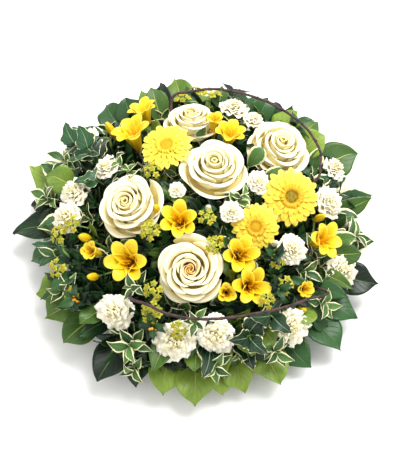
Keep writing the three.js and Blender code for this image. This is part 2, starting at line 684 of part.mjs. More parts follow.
function buildLeafy({ name, colour, stem, leaves }) {
  const [bearing, lean] = stem.map(THREE.MathUtils.degToRad);
  const flat = new THREE.Vector3(Math.cos(bearing), Math.sin(bearing), 0);
  const way = flat.multiplyScalar(Math.sin(lean)).addScaledVector(UP, Math.cos(lean));
  const reach = foamExit(way) + NODE_CLEAR;
  const node = way.clone().multiplyScalar(reach);
  const blooms = [];
  const stems = [stemFromFoam(way, reach + STEM_LAP, STEMS.leaf)];
  for (const [turn, baseOut, tipOut, baseHeight, tipHeight, width] of leaves) {
    const base = polarPoint(turn, baseOut, baseHeight);
    const tip = polarPoint(turn, tipOut, tipHeight);
    const site = addSite(name, base.clone().lerp(tip, 0.5), 0.5 * width);
    blooms.push({ body: leaf({ base, tip, width }), site });
    const end = base.clone().lerp(node, -0.15);
    stems.push(rod([node, end], PETIOLE.radius, 1, PETIOLE.sides));
  }
  addPart(name, colour, name, blooms, stems);
}

function buildTwig({ name, route }) {
  const points = route.map(domePoint);
  const ends = [points[0], points[points.length - 1]];
  const stems = ends.map((end) => {
    addSite(name, end, 2 * STEMS.vine.radius);
    return stemFromFoam(end.clone().normalize(), end.length() + 1, STEMS.vine);
  });
  addPart(name, 'vine', null, [], [...stems, rod(points, STEMS.vine.radius, TWIG_STEPS, STEMS.vine.sides)]);
}

FLOWERS.forEach(buildFlower);
SPRAYS.forEach(buildSpray);
LEAFY.forEach(buildLeafy);
TWIGS.forEach(buildTwig);
buildDish();
buildFoam();

const posy = new THREE.Group();
for (const { name, colour, owner, blooms, stems } of parts) {
  const cut = blooms.map(({ body, site }) => trimBySite(site, body));
  if (stems.length > 0) cut.push(owner ? trimByOwner(owner, join(stems)) : join(stems));
  const whole = largestBody(join(cut).asOriginal().simplify(SMOOTH));
  const material = new THREE.MeshStandardMaterial({ ...COLOURS[colour], metalness: 0 });
  const mesh = new THREE.Mesh(toGeometry(whole), material);
  mesh.name = name;
  posy.add(mesh);
}

export default posy;
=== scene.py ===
"""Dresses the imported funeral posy.

Every bloom, spray, leafy stem and twig of the frame is replaced by a finer piece that keeps its
place and form. Sprigs that fill the dome between them are added, and the foam and the dish get
their finishes. Metres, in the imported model's frame: +Z up, the base centre at 0, seen from -Y.
"""

import sys

import logging
import math
import random
from collections.abc import Callable, Iterable, Sequence
from dataclasses import dataclass
from enum import Enum

import bmesh
import bpy
from mathutils import Matrix, Quaternion, Vector


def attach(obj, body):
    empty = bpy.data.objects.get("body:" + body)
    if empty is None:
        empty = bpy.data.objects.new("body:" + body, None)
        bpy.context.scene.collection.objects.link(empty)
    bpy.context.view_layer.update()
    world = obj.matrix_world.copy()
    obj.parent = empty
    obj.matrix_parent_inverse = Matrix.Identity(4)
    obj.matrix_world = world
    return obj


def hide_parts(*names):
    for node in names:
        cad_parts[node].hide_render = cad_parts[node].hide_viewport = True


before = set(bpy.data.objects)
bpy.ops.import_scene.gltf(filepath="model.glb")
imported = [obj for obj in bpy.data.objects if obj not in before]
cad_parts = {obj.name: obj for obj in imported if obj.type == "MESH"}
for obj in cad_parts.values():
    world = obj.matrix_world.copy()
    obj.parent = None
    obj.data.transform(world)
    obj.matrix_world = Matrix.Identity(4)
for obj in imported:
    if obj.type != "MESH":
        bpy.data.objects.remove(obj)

LOG = logging.getLogger("posy")
MM = 0.001
UP = Vector((0, 0, 1))
GOLDEN_ANGLE = math.radians(137.508)
ROLL_TURN = math.radians(130)

# The dome that the heads' faces share, and the pad that their stems stand in
DOME_RADIUS = 168 * MM
DOME_HEIGHT = 113 * MM
DOME_BASE = 10 * MM
FOAM_RADIUS = 115 * MM
FOAM_TOP = 55 * MM
STEM_DEPTH = 20 * MM

# Where heads face away from, and the side that the posy is seen from
FACE_FOCUS = Vector((0, 25, -110)) * MM
VIEWER = Vector((0, -0.5, 0.87)).normalized()

# Forks: their distance from the base centre, the least stem out of the foam under one and in front
# of one, and how far a branch bows out
FORK_REACH = 70 * MM
FORK_CLEAR = 12 * MM
FORK_NECK = 8 * MM
BRANCH_RISE = 1.05
NODE_CLEAR = 8 * MM

# Leaf skin: how much mottling and each leaf's own shade tell, how steeply side veins slant, and how
# strongly veins show, the side ones beside the midrib
MOTTLE_SHARE = 0.45
SHADE_SHARE = 0.85
VEIN_SLANT = 4.5
VEIN_SHOW = 0.75
SIDE_VEIN_SHOW = 0.45

# Petals: how sharply their corners round off, and the most that one turns about its head's axis
CORNER_POWER = 2.4
MOST_SWING = 2.6

# Sprigs of the undergrowth: their leaves, and the length that carries them
SPRIG_LEAVES = 8
SPRIG_LENGTH = 24 * MM

# Blade thicknesses
BLADE_WALL = 0.5 * MM
SEPAL_WALL = 0.7 * MM
THIN_WALL = 0.4 * MM

Surface = Callable[[float, float], Vector]
Colour = tuple[float, float, float]


def linear(code: int) -> Colour:
    """Turns a display colour into the linear one that shaders take.

    Args:
        code: The colour as 0xRRGGBB.

    Returns:
        Its linear red, green and blue.
    """
    parts = [((code >> shift) & 255) / 255 for shift in (16, 8, 0)]
    return tuple(part / 12.92 if part <= 0.04045 else ((part + 0.055) / 1.055) ** 2.4 for part in parts)


def lerp(low: float, high: float, share: float) -> float:
    """Gives the value that lies a share of the way from low to high."""
    return low + (high - low) * share


def through(knots: Sequence, at: float) -> float | Vector:
    """Follows the smooth curve through knots.

    Args:
        knots: The numbers or points that it passes.
        at: How far along it is, the first knot being 0 and each later one 1 more.

    Returns:
        The number or point there.
    """
    last = len(knots) - 1
    low = max(0, min(int(at), last - 1))
    before, start = knots[max(low - 1, 0)], knots[low]
    end, after = knots[low + 1], knots[min(low + 2, last)]
    t = at - low
    bow = (end - before) * t + (before * 2 - start * 5 + end * 4 - after) * t**2
    return start + (bow + (start * 3 - before - end * 3 + after) * t**3) / 2


@dataclass(frozen=True)
class Place:
    """A place on the dome.

    Attributes:
        bearing: Degrees round +Z from +X.
        out: Millimetres from the axis.
        lift: Millimetres above the dome.
    """

    bearing: float
    out: float
    lift: float = 0.0

    def point(self) -> Vector:
        """Gives the place as a point."""
        turn = math.radians(self.bearing)
        out = self.out * MM
        height = DOME_HEIGHT * math.sqrt(max(0.0, 1 - (out / DOME_RADIUS) ** 2))
        return Vector((out * math.cos(turn), out * math.sin(turn), DOME_BASE + height + self.lift * MM))


def facing(point: Vector, nod: float = 0.0) -> Vector:
    """Gives the way that a head at a point faces.

    Args:
        point: The head's place.
        nod: Degrees that it nods towards the viewer.

    Returns:
        The unit direction.
    """
    outward = (point - FACE_FOCUS).normalized()
    axis = outward.cross(VIEWER)
    if nod == 0 or axis.length < 1e-3:
        return outward
    return Quaternion(axis.normalized(), math.radians(nod)) @ outward


def stand_at(point: Vector, up: Vector, spin: float = 0.0) -> Matrix:
    """Stands a head, modelled up +Z, at a point.

    Args:
        point: Where its seat goes.
        up: The way it faces.
        spin: Degrees that it turns about its own axis.

    Returns:
        The matrix that puts it there.
    """
    turn = UP.rotation_difference(up) @ Quaternion(UP, math.radians(spin))
    return Matrix.Translation(point) @ turn.to_matrix().to_4x4()


def foam_exit(way: Vector) -> float:
    """Gives the distance from the base centre at which a straight stem leaves the foam."""
    out = math.hypot(way.x, way.y)
    through_top = FOAM_TOP / max(way.z, 1e-6)
    return through_top if out * through_top < FOAM_RADIUS else FOAM_RADIUS / out


# Finishes


class Shader:
    """One material's node tree, with short ways to add to it."""

    def __init__(self, name: str) -> None:
        """Starts a material with its shader.

        Args:
            name: The material's name.
        """
        self.material = bpy.data.materials.new(name)
        self.material.use_nodes = True
        self.tree = self.material.node_tree
        self.surface = self.tree.nodes["Principled BSDF"]

    def node(self, kind: str, **settings: object) -> bpy.types.Node:
        """Adds a node and sets its properties."""
        made = self.tree.nodes.new(kind)
        for key, value in settings.items():
            setattr(made, key, value)
        return made

    def put(self, socket: bpy.types.NodeSocket, value: object) -> None:
        """Links a socket to an input, or sets the input's own value."""
        if isinstance(value, bpy.types.NodeSocket):
            self.tree.links.new(value, socket)
        elif isinstance(value, tuple) and len(value) == 3 and socket.type == "RGBA":
            socket.default_value = (*value, 1)
        else:
            socket.default_value = value

    def maths(self, operation: str, *values: object) -> bpy.types.NodeSocket:
        """Adds a Math node.

        Args:
            operation: What it does.
            *values: Its inputs, each a socket or a number.

        Returns:
            Its output.
        """
        made = self.node("ShaderNodeMath", operation=operation)
        for socket, value in zip(made.inputs, values):
            self.put(socket, value)
        return made.outputs[0]

    def smooth(self, value: object, low: float, high: float) -> bpy.types.NodeSocket:
        """Eases a value from 0 at low to 1 at high."""
        made = self.node("ShaderNodeMapRange", interpolation_type="SMOOTHSTEP")
        self.put(made.inputs["Value"], value)
        made.inputs["From Min"].default_value = low
        made.inputs["From Max"].default_value = high
        return made.outputs["Result"]

    def mix(self, share: object, first: object, second: object, blend: str = "MIX") -> bpy.types.NodeSocket:
        """Mixes two colours.

        Args:
            share: How much of the second, a socket or a number.
            first: The first colour.
            second: The second colour.
            blend: How they mix.

        Returns:
            The mixed colour.
        """
        made = self.node("ShaderNodeMix", data_type="RGBA", blend_type=blend)
        self.put(made.inputs[0], share)
        self.put(made.inputs[6], first)
        self.put(made.inputs[7], second)
        return made.outputs[2]

    def attribute(self, name: str) -> bpy.types.NodeSocket:
        """Reads one of the piece's own values."""
        return self.node("ShaderNodeAttribute", attribute_name=name).outputs["Fac"]

    def across_and_along(self) -> tuple[bpy.types.NodeSocket, bpy.types.NodeSocket]:
        """Reads how far across and along its blade a point is, from 0 to 1."""
        split = self.node("ShaderNodeSeparateXYZ")
        self.tree.links.new(self.node("ShaderNodeUVMap", uv_map="UVMap").outputs["UV"], split.inputs[0])
        return split.outputs["X"], split.outputs["Y"]

    def grain(
        self, scale: float, stretch: Colour = (1, 1, 1), on_blade: bool = False, detail: float = 3.0,
    ) -> bpy.types.NodeSocket:
        """Adds noise.

        Args:
            scale: How fine it is.
            stretch: How much finer it is along each axis.
            on_blade: Whether it follows the blades and not the object.
            detail: How many finer layers it has.

        Returns:
            Its value, from 0 to 1.
        """
        if on_blade:
            source = self.node("ShaderNodeUVMap", uv_map="UVMap").outputs["UV"]
        else:
            source = self.node("ShaderNodeTexCoord").outputs["Object"]
        mapping = self.node("ShaderNodeMapping")
        mapping.inputs["Scale"].default_value = stretch
        self.tree.links.new(source, mapping.inputs["Vector"])
        noise = self.node("ShaderNodeTexNoise")
        noise.inputs["Scale"].default_value = scale
        noise.inputs["Detail"].default_value = detail
        self.tree.links.new(mapping.outputs["Vector"], noise.inputs["Vector"])
        return noise.outputs["Fac"]

    def bump(self, height: bpy.types.NodeSocket, distance: float, strength: float = 1.0) -> None:
        """Raises the surface by a height pattern.

        Args:
            height: The pattern, from 0 to 1.
            distance: Metres from its lowest to its highest.
            strength: How much of it shows.
        """
        made = self.node("ShaderNodeBump")
        made.inputs["Strength"].default_value = strength
        made.inputs["Distance"].default_value = distance
        self.tree.links.new(height, made.inputs["Height"])
        self.tree.links.new(made.outputs["Normal"], self.surface.inputs["Normal"])

    def finish(self, colour: object, roughness: object, **fixed: float | Colour) -> bpy.types.Material:
        """Sets the shader's inputs.

        Args:
            colour: The base colour.
            roughness: The roughness, a socket or a number.
            **fixed: Other inputs by name, with underscores for spaces.

        Returns:
            The material.
        """
        self.put(self.surface.inputs["Base Color"], colour)
        self.put(self.surface.inputs["Roughness"], roughness)
        for name, value in fixed.items():
            self.surface.inputs[name.replace("_", " ")].default_value = value
        return self.material


@dataclass(frozen=True)
class PetalFinish:
    """Petal skin that changes colour from root to rim and towards the heart.

    Attributes:
        name: The material's name.
        root: Colour at the petal's root, on roses and freesias partly painted shade in the folds.
        body: Colour of most of the petal.
        rim: Colour at its rim, whose paler tone on roses and freesias is partly a painted highlight.
        heart: Colour of the innermost petals, on roses partly painted shade deep in the heart.
        root_reach: How far along the petal the root's colour reaches.
        streak: How strongly fine lines along the petal show.
        roughness: The petal's roughness.
        rim_from: How far along the petal the rim's colour starts.
        heart_from: How near to the heart, from 0 to 1, its colour starts.
        glow: How much light passes through.
    """

    name: str
    root: Colour
    body: Colour
    rim: Colour
    heart: Colour
    root_reach: float = 0.4
    streak: float = 0.12
    roughness: float = 0.55
    rim_from: float = 0.7
    heart_from: float = 0.1
    glow: float = 0.3

    def material(self) -> bpy.types.Material:
        """Makes the material."""
        shader = Shader(self.name)
        _, along = shader.across_and_along()
        streaks = shader.grain(9, (5, 0.5, 1), on_blade=True)
        # On roses and freesias the deeper root colour is partly painted shade in the folds and throat.
        colour = shader.mix(shader.smooth(along, 0.02, self.root_reach), self.root, self.body)
        # On roses and freesias the paler rim colour is partly a painted highlight.
        colour = shader.mix(shader.smooth(along, self.rim_from, 1.0), colour, self.rim)
        # On roses the heart colour is partly painted shade deep in the heart.
        inner = shader.smooth(shader.attribute("depth"), self.heart_from, 1.0)
        colour = shader.mix(inner, colour, self.heart)
        darker = shader.maths("MULTIPLY", shader.smooth(streaks, 0.45, 0.7), self.streak)
        colour = shader.mix(darker, colour, self.root, "MULTIPLY")
        shading = shader.maths("MULTIPLY_ADD", shader.attribute("shade"), 0.14, 0.9)
        bright = shader.node("ShaderNodeCombineColor")
        for channel in bright.inputs[:3]:
            shader.put(channel, shading)
        colour = shader.mix(1.0, colour, bright.outputs[0], "MULTIPLY")
        shader.bump(streaks, 0.25 * MM, 0.5)
        return shader.finish(
            colour, self.roughness, Subsurface_Weight=self.glow, Subsurface_Scale=0.012,
            Subsurface_Radius=(1.0, 0.85, 0.5), Specular_IOR_Level=0.3,
        )


@dataclass(frozen=True)
class LeafFinish:
    """A leaf's skin with its midrib, side veins and, on some, pale margins.

    Attributes:
        name: The material's name.
        young: Colour of the palest leaves.
        old: Colour of the darkest leaves.
        vein: Colour of the veins.
        margin: Colour of the edges.
        margin_from: Distance from the midrib at which the margin starts, 0.5 being the edge.
        roughness: The leaf's roughness.
        veins: Side veins along the leaf.
    """

    name: str
    young: Colour
    old: Colour
    vein: Colour
    margin: Colour
    margin_from: float
    roughness: float
    veins: float = 8.0

    def material(self) -> bpy.types.Material:
        """Makes the material."""
        shader = Shader(self.name)
        across, along = shader.across_and_along()
        off_rib = shader.maths("ABSOLUTE", shader.maths("SUBTRACT", across, 0.5))
        lines = self.lines(shader, off_rib, along)
        mottle = shader.maths("MULTIPLY", shader.grain(90), MOTTLE_SHARE)
        tone = shader.maths("MULTIPLY_ADD", shader.attribute("shade"), SHADE_SHARE, mottle)
        colour = shader.mix(shader.smooth(tone, 0.25, 1.0), self.old, self.young)
        colour = shader.mix(shader.maths("MULTIPLY", lines, VEIN_SHOW), colour, self.vein)
        uneven = shader.maths("SUBTRACT", shader.grain(7, on_blade=True), 0.5)
        ragged = shader.maths("MULTIPLY_ADD", uneven, 0.2, off_rib)
        edge = shader.smooth(ragged, self.margin_from, self.margin_from + 0.03)
        colour = shader.mix(edge, colour, self.margin)
        shader.bump(shader.maths("SUBTRACT", 1.0, lines), 0.9 * MM, 0.9)
        return shader.finish(colour, self.roughness, Specular_IOR_Level=0.35)

    def lines(
        self, shader: Shader, off_rib: bpy.types.NodeSocket, along: bpy.types.NodeSocket,
    ) -> bpy.types.NodeSocket:
        """Draws the midrib and the slanted side veins.

        Args:
            shader: The leaf's shader.
            off_rib: The distance from the midrib.
            along: The distance along the leaf.

        Returns:
            Their pattern, 1 on a line.
        """
        slant = shader.maths("MULTIPLY", off_rib, VEIN_SLANT)
        slanted = shader.maths("SUBTRACT", shader.maths("MULTIPLY", along, self.veins), slant)
        saw = shader.maths("ABSOLUTE", shader.maths("SUBTRACT", shader.maths("FRACT", slanted), 0.5))
        side = shader.maths("MULTIPLY", shader.smooth(saw, 0.44, 0.5), SIDE_VEIN_SHOW)
        rib = shader.maths("SUBTRACT", 1.0, shader.smooth(off_rib, 0.012, 0.035))
        return shader.maths("MAXIMUM", rib, side)


@dataclass(frozen=True)
class GrainFinish:
    """A surface of two colours in an uneven grain, such as bark, foam or stems.

    Attributes:
        name: The material's name.
        light: The paler colour.
        dark: The darker colour.
        scale: How fine the grain is.
        stretch: How much finer it is along each axis.
        relief: Metres of relief.
        roughness: The surface's roughness.
    """

    name: str
    light: Colour
    dark: Colour
    scale: float
    relief: float
    roughness: float
    stretch: Colour = (1, 1, 1)

    def material(self) -> bpy.types.Material:
        """Makes the material."""
        shader = Shader(self.name)
        grain = shader.grain(self.scale, self.stretch, detail=5)
        colour = shader.mix(shader.smooth(grain, 0.35, 0.65), self.dark, self.light)
        shader.bump(grain, self.relief)
        rough = shader.maths("ADD", shader.maths("MULTIPLY", grain, 0.15), self.roughness - 0.07)
        return shader.finish(colour, rough)


# Roses: the deep yellow root, reaching far up each petal, is partly painted warm shade in the folds.
# The paler rim is partly a painted highlight, and the heart colour partly painted shade deep in the heart.
ROSE_WHITE = PetalFinish(
    "rose_cream", linear(0xFCE892), linear(0xFEF5C8), linear(0xFFFADC), linear(0xFBEBA0),
    root_reach=0.8, rim_from=0.85, heart_from=0.4, glow=0.2,
)
ROSE_PEACH = PetalFinish(
    "rose_gold_heart", linear(0xF9DC7C), linear(0xFDF1BC), linear(0xFFF9DA), linear(0xF0B850),
    root_reach=0.8, rim_from=0.85, heart_from=0.5, glow=0.2,
)
GERBERA_LEMON = PetalFinish(
    "gerbera_lemon", linear(0xECC520), linear(0xF7DC38), linear(0xFAE45C), linear(0xEFCB2C), streak=0.25,
)
GERBERA_GOLD = PetalFinish(
    "gerbera_gold", linear(0xEBB917), linear(0xF9D936), linear(0xFCE455), linear(0xE8B11B), streak=0.3,
)
GERBERA_EYE = GrainFinish("gerbera_eye", linear(0xDDB92E), linear(0x7F7B22), 900, 0.3 * MM, 0.7)
# Freesia: the orange root is partly its own throat and partly painted shade deep in the funnel.
# Its paler rim is partly a painted highlight.
FREESIA_GOLD = PetalFinish(
    "freesia_gold", linear(0xE8990A), linear(0xFFD312), linear(0xFFDF2E), linear(0xFBC810),
    root_reach=0.5, streak=0.2, roughness=0.42, heart_from=0.3, glow=0.4,
)
CARNATION_WHITE = PetalFinish(
    "carnation_white", linear(0xE8E0A0), linear(0xFBF4D4), linear(0xFFFBEA), linear(0xF6ECC0),
    roughness=0.7, glow=0.15,
)
BUPLEURUM_BRACT = LeafFinish(
    "bupleurum_bract", linear(0xC3C43C), linear(0x7F8F26), linear(0xD9D870), linear(0xC9C64B), 0.44, 0.6, 4,
)
BUPLEURUM_FLORET = GrainFinish("bupleurum_floret", linear(0xE3C93A), linear(0xA88A1C), 700, 0.2 * MM, 0.7)
BERRY_AMBER = GrainFinish("berry_amber", linear(0xE8A42A), linear(0xC5761A), 300, 0.05 * MM, 0.35)
LEAF_DARK = LeafFinish(
    "leaf_dark_gloss", linear(0x2B5226), linear(0x081A0C), linear(0x587C4A), linear(0x1B3C1E), 0.485, 0.38,
)
LEAF_LIGHT = LeafFinish(
    "leaf_light_satin", linear(0x7A9434), linear(0x34561D), linear(0xA2B25A), linear(0x80963A),
    0.485, 0.42, 6,
)
LEAF_VARIEGATED = LeafFinish(
    "leaf_variegated_satin", linear(0x56803E), linear(0x214822), linear(0x7C9A58), linear(0xF1ECBC),
    0.36, 0.42,
)
IVY_DARK = LeafFinish(
    "ivy_dark", linear(0x2B5630), linear(0x0E2A18), linear(0x93AA84), linear(0xE2DFAE), 0.46, 0.38, 4,
)
STEM_GREEN = GrainFinish("stem_green", linear(0x86A24E), linear(0x54752F), 60, 0.1 * MM, 0.55, (1, 1, 0.2))
TWIG_BARK = GrainFinish("twig_bark", linear(0x4C302E), linear(0x1C1012), 160, 0.5 * MM, 0.7)
FOAM_GREEN = GrainFinish("foam_green", linear(0x1F3F26), linear(0x0D2013), 900, 0.5 * MM, 0.95)
FLOOR_WHITE = GrainFinish("floor_white", (0.93, 0.93, 0.92), (0.91, 0.91, 0.9), 6, 0, 0.9)
DISH_GREEN = GrainFinish("dish_green", linear(0x2A4A2E), linear(0x213C25), 250, 0.05 * MM, 0.4)


class LeafKind(Enum):
    """The kinds of foliage, by their finish."""

    DARK = LEAF_DARK
    LIGHT = LEAF_LIGHT
    VARIEGATED = LEAF_VARIEGATED
    IVY = IVY_DARK


# Shapes


@dataclass(frozen=True)
class Petal:
    """One petal in head sizes, from its root near the axis to its rim.

    Attributes:
        spine: Control points (radius, height) of its middle line.
        widths: Half widths at its root, middle and rim.
        round: How far its corners fall short of its tip, as a share of its length.
        lap: How far one edge lies outside the other.
        roll: Radius of the curl in which its rim turns out and down.
        roll_from: How far along it the curl starts, as a share of its length.
        cup: How far both edges rise off the middle line.
        ruffle: How far its rim waves to and fro.
        waves: Half waves across the rim.
        fray: Depth of the teeth along the rim, as a share of its length.
        grid: Faces across and along.
    """

    spine: tuple[tuple[float, float], ...]
    widths: tuple[float, float, float]
    round: float = 0.1
    lap: float = 0.0
    roll: float = 0.0
    roll_from: float = 1.0
    cup: float = 0.0
    ruffle: float = 0.0
    waves: float = 3.0
    fray: float = 0.0
    grid: tuple[int, int] = (6, 6)

    def surface(self, size: float, bearing: float, rng: random.Random) -> Surface:
        """Gives the petal as a surface in its head's own frame.

        Args:
            size: The head's size in metres.
            bearing: Where round the head it is, in radians.
            rng: Where its small differences come from.

        Returns:
            The point for u from -1 to 1 across and v from 0 to 1 along.
        """
        start, first, second, end = (Vector(point) * size for point in self.spine)
        root, middle, rim = (width * size for width in self.widths)
        phase = rng.uniform(0, 2 * math.pi)
        least = 0.05 * size
        teeth = 0.5 * self.grid[0]

        def place(u: float, v: float) -> Vector:
            """Gives one point of the petal."""
            tooth = self.fray * (round((u + 1) * teeth) % 2)
            t = v * (1 - self.round * abs(u) ** CORNER_POWER - tooth * v)
            curl = ROLL_TURN * max(0.0, t - self.roll_from) / max(1e-6, 1 - self.roll_from)
            t = min(t / self.roll_from, 1.0)
            s = 1 - t
            spine = start * s**3 + first * (3 * s * s * t) + second * (3 * s * t * t) + end * t**3
            slope = (first - start) * (s * s) + (second - first) * (2 * s * t) + (end - second) * (t * t)
            half = root * (1 - v) * (1 - 2 * v) + 4 * middle * v * (1 - v) + rim * v * (2 * v - 1)
            rise = self.cup * u * u * v + self.ruffle * v * v * math.sin(self.waves * math.pi * u + phase)
            normal = Vector((-slope.y, slope.x)).normalized() * (rise * size)
            rolled = self.roll * size * Vector((1 - math.cos(curl), math.sin(curl)))
            radius = spine.x + normal.x + rolled.x + self.lap * size * u * v
            swing = bearing + max(-MOST_SWING, min(MOST_SWING, u * half / max(spine.x, least)))
            return Vector((radius * math.cos(swing), radius * math.sin(swing), spine.y + normal.y + rolled.y))

        return place


@dataclass(frozen=True)
class LeafShape:
    """The form of a kind of leaf.

    Attributes:
        outline: Half widths at even steps from base to tip, the widest being 1.
        fold: How far both halves rise off the rib, as a share of their width.
        wave: How far the edges wave, as a share of the leaf's width.
    """

    outline: tuple[float, ...]
    fold: float = 0.25
    wave: float = 0.05

    def surface(
        self, base: Vector, tip: Vector, width: float, up: Vector, arch: float, rng: random.Random,
    ) -> Surface:
        """Gives a leaf as a surface, folded along its rib and waved along its edges.

        Args:
            base: Where the blade starts.
            tip: Where it ends.
            width: Its full width.
            up: The way its upper face looks.
            arch: How far its middle rises off the straight line.
            rng: Where its small differences come from.

        Returns:
            The point for u from -1 to 1 across and v from 0 to 1 along.
        """
        middle = (base + tip) / 2 + up * (2 * arch)
        side = up.cross(tip - base).normalized()
        phase = rng.uniform(0, 2 * math.pi)
        fold = self.fold * rng.uniform(0.6, 1.4)
        wave = self.wave * rng.uniform(0.6, 1.4) * width
        sway = rng.uniform(-0.14, 0.14) * width

        def place(u: float, v: float) -> Vector:
            """Gives one point of the leaf."""
            rib = base * (1 - v) ** 2 + middle * (2 * v * (1 - v)) + tip * v**2
            half = 0.5 * width * max(0.02, through(self.outline, v * (len(self.outline) - 1)))
            rise = fold * abs(u) * half + wave * abs(u) * math.sin(9 * v + phase + u)
            return rib + side * (u * half + sway * math.sin(math.pi * v)) + up * rise

        return place


POINTED = LeafShape((0.05, 0.6, 0.92, 1.0, 0.86, 0.58, 0.28, 0.02))
ROUNDED = LeafShape((0.08, 0.72, 0.98, 1.0, 0.84, 0.5, 0.03), wave=0.07)
LOBED = LeafShape((0.35, 0.86, 0.8, 1.0, 0.62, 0.46, 0.42, 0.24, 0.02), fold=0.12, wave=0.04)


class Plant:
    """Gathers the blades, tubes and beads of one piece."""

    def __init__(self, name: str) -> None:
        """Starts the piece.

        Args:
            name: The piece's name, which also seeds its small differences.
        """
        self.name = name
        self.rng = random.Random(name)
        self.blades = self.empty()
        self.solids = self.empty()
        self.materials: list[bpy.types.Material] = []

    @staticmethod
    def empty() -> bmesh.types.BMesh:
        """Starts a mesh with the values that finishes read."""
        made = bmesh.new()
        made.loops.layers.uv.new("UVMap")
        made.verts.layers.float.new("shade")
        made.verts.layers.float.new("depth")
        return made

    def index(self, material: bpy.types.Material) -> int:
        """Gives the material's slot on the piece, and adds it if it is new."""
        if material not in self.materials:
            self.materials.append(material)
        return self.materials.index(material)

    def paint(
        self, mesh: bmesh.types.BMesh, verts: Iterable[bmesh.types.BMVert], material: bpy.types.Material,
        shade: float, depth: float,
    ) -> None:
        """Sets the material and values of a shape that has just been made.

        Args:
            mesh: The mesh that it is in.
            verts: Its vertices.
            material: Its material.
            shade: From 0, dark, to 1, light.
            depth: From 0 at the rim of a head to 1 at its heart.
        """
        index = self.index(material)
        shades, depths = mesh.verts.layers.float["shade"], mesh.verts.layers.float["depth"]
        for vert in verts:
            vert[shades] = shade
            vert[depths] = depth
            for face in vert.link_faces:
                face.material_index = index
                face.smooth = True

    def blade(
        self, surface: Surface, grid: tuple[int, int], material: bpy.types.Material,
        matrix: Matrix = Matrix(), depth: float = 0.0,
    ) -> None:
        """Adds a petal or leaf.

        Args:
            surface: Its form.
            grid: Faces across and along.
            material: Its material.
            matrix: Where it goes.
            depth: How near to the heart of its head it is.
        """
        wide, long = grid
        made = bmesh.ops.create_grid(self.blades, x_segments=wide, y_segments=long, size=1, calc_uvs=True)
        for vert in made["verts"]:
            vert.co = matrix @ surface(vert.co.x, (vert.co.y + 1) / 2)
        self.paint(self.blades, made["verts"], material, self.rng.random(), depth)

    def tube(
        self, points: Sequence[Vector], radii: Sequence[float], material: bpy.types.Material, sides: int = 7,
    ) -> None:
        """Adds a closed tube along points.

        Args:
            points: Its middle line.
            radii: Its radius at its first and last point.
            material: Its material.
            sides: Faces round it.
        """
        mesh = self.solids
        last = len(points) - 1
        ways = [(points[min(i + 1, last)] - points[max(i - 1, 0)]).normalized() for i in range(len(points))]
        turn = UP.rotation_difference(ways[0])
        made = bmesh.ops.create_circle(mesh, cap_ends=True, segments=sides, radius=1)
        ring, verts = made["verts"], list(made["verts"])
        edges = list(dict.fromkeys(edge for vert in ring for edge in vert.link_edges))
        before = Matrix()
        for i, point in enumerate(points):
            if i > 0:
                turn = ways[i - 1].rotation_difference(ways[i]) @ turn
                grown = bmesh.ops.extrude_edge_only(mesh, edges=edges)["geom"]
                ring = [item for item in grown if isinstance(item, bmesh.types.BMVert)]
                edges = [item for item in grown if isinstance(item, bmesh.types.BMEdge)]
                verts += ring
            radius = lerp(radii[0], radii[-1], i / last)
            after = Matrix.Translation(point) @ turn.to_matrix().to_4x4() @ Matrix.Scale(radius, 4)
            bmesh.ops.transform(mesh, matrix=after @ before.inverted(), verts=ring)
            before = after
        bmesh.ops.contextual_create(mesh, geom=edges)
        self.paint(mesh, verts, material, self.rng.random(), 0)
        faces = dict.fromkeys(face for vert in verts for face in vert.link_faces)
        bmesh.ops.recalc_face_normals(mesh, faces=list(faces))

    def bead(
        self, matrix: Matrix, material: bpy.types.Material, detail: tuple[int, int] = (8, 6),
        depth: float = 0.0,
    ) -> None:
        """Adds a closed rounded bead, a unit sphere before it is placed.

        Args:
            matrix: Its place and size.
            material: Its material.
            detail: Faces round it and along it.
            depth: How near to the heart of its head it is.
        """
        made = bmesh.ops.create_uvsphere(self.solids, u_segments=detail[0], v_segments=detail[1], radius=1)
        for vert in made["verts"]:
            vert.co = matrix @ vert.co
        self.paint(self.solids, made["verts"], material, self.rng.random(), depth)

    def dress(self, slot: str, nodes: Sequence[str], wall: float, levels: int = 0) -> bpy.types.Object:
        """Gives the blades their walls, joins everything and makes the piece.

        Args:
            slot: A material slot's name; not used.
            nodes: The nodes of the frame that it stands for.
            wall: The thickness of its blades.
            levels: How often its blades are subdivided.

        Returns:
            The finished piece.
        """
        mesh = bpy.data.meshes.new(self.name)
        for material in self.materials:
            mesh.materials.append(material)
        if self.blades.faces:
            self.blades.to_mesh(mesh)
            holder = bpy.data.objects.new(self.name, mesh)
            bpy.context.collection.objects.link(holder)
            walls = holder.modifiers.new("Wall", "SOLIDIFY")
            walls.thickness, walls.offset = wall, 0
            if levels:
                rounding = holder.modifiers.new("Rounding", "SUBSURF")
                rounding.levels = rounding.render_levels = levels
            shown = holder.evaluated_get(bpy.context.evaluated_depsgraph_get())
            finished = bpy.data.meshes.new_from_object(shown)
            bpy.data.objects.remove(holder)
            self.solids.from_mesh(finished)
            bpy.data.meshes.remove(finished)
        self.solids.to_mesh(mesh)
        self.blades.free()
        self.solids.free()
        piece = bpy.data.objects.new(self.name, mesh)
        bpy.context.collection.objects.link(piece)
        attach(piece, "root")
        if nodes:
            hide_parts(*nodes)
        mesh.calc_loop_triangles()
        LOG.info("%s: %d triangles", self.name, len(mesh.loop_triangles))
        return piece


class Palette:
    """Makes each finish's material once."""

    def __init__(self) -> None:
        """Starts with no materials made."""
        self.made: dict[str, bpy.types.Material] = {}

    def __call__(self, finish: PetalFinish | LeafFinish | GrainFinish) -> bpy.types.Material:
        """Gives the material of a finish."""
        if finish.name not in self.made:
            self.made[finish.name] = finish.material()
        return self.made[finish.name]


PALETTE = Palette()


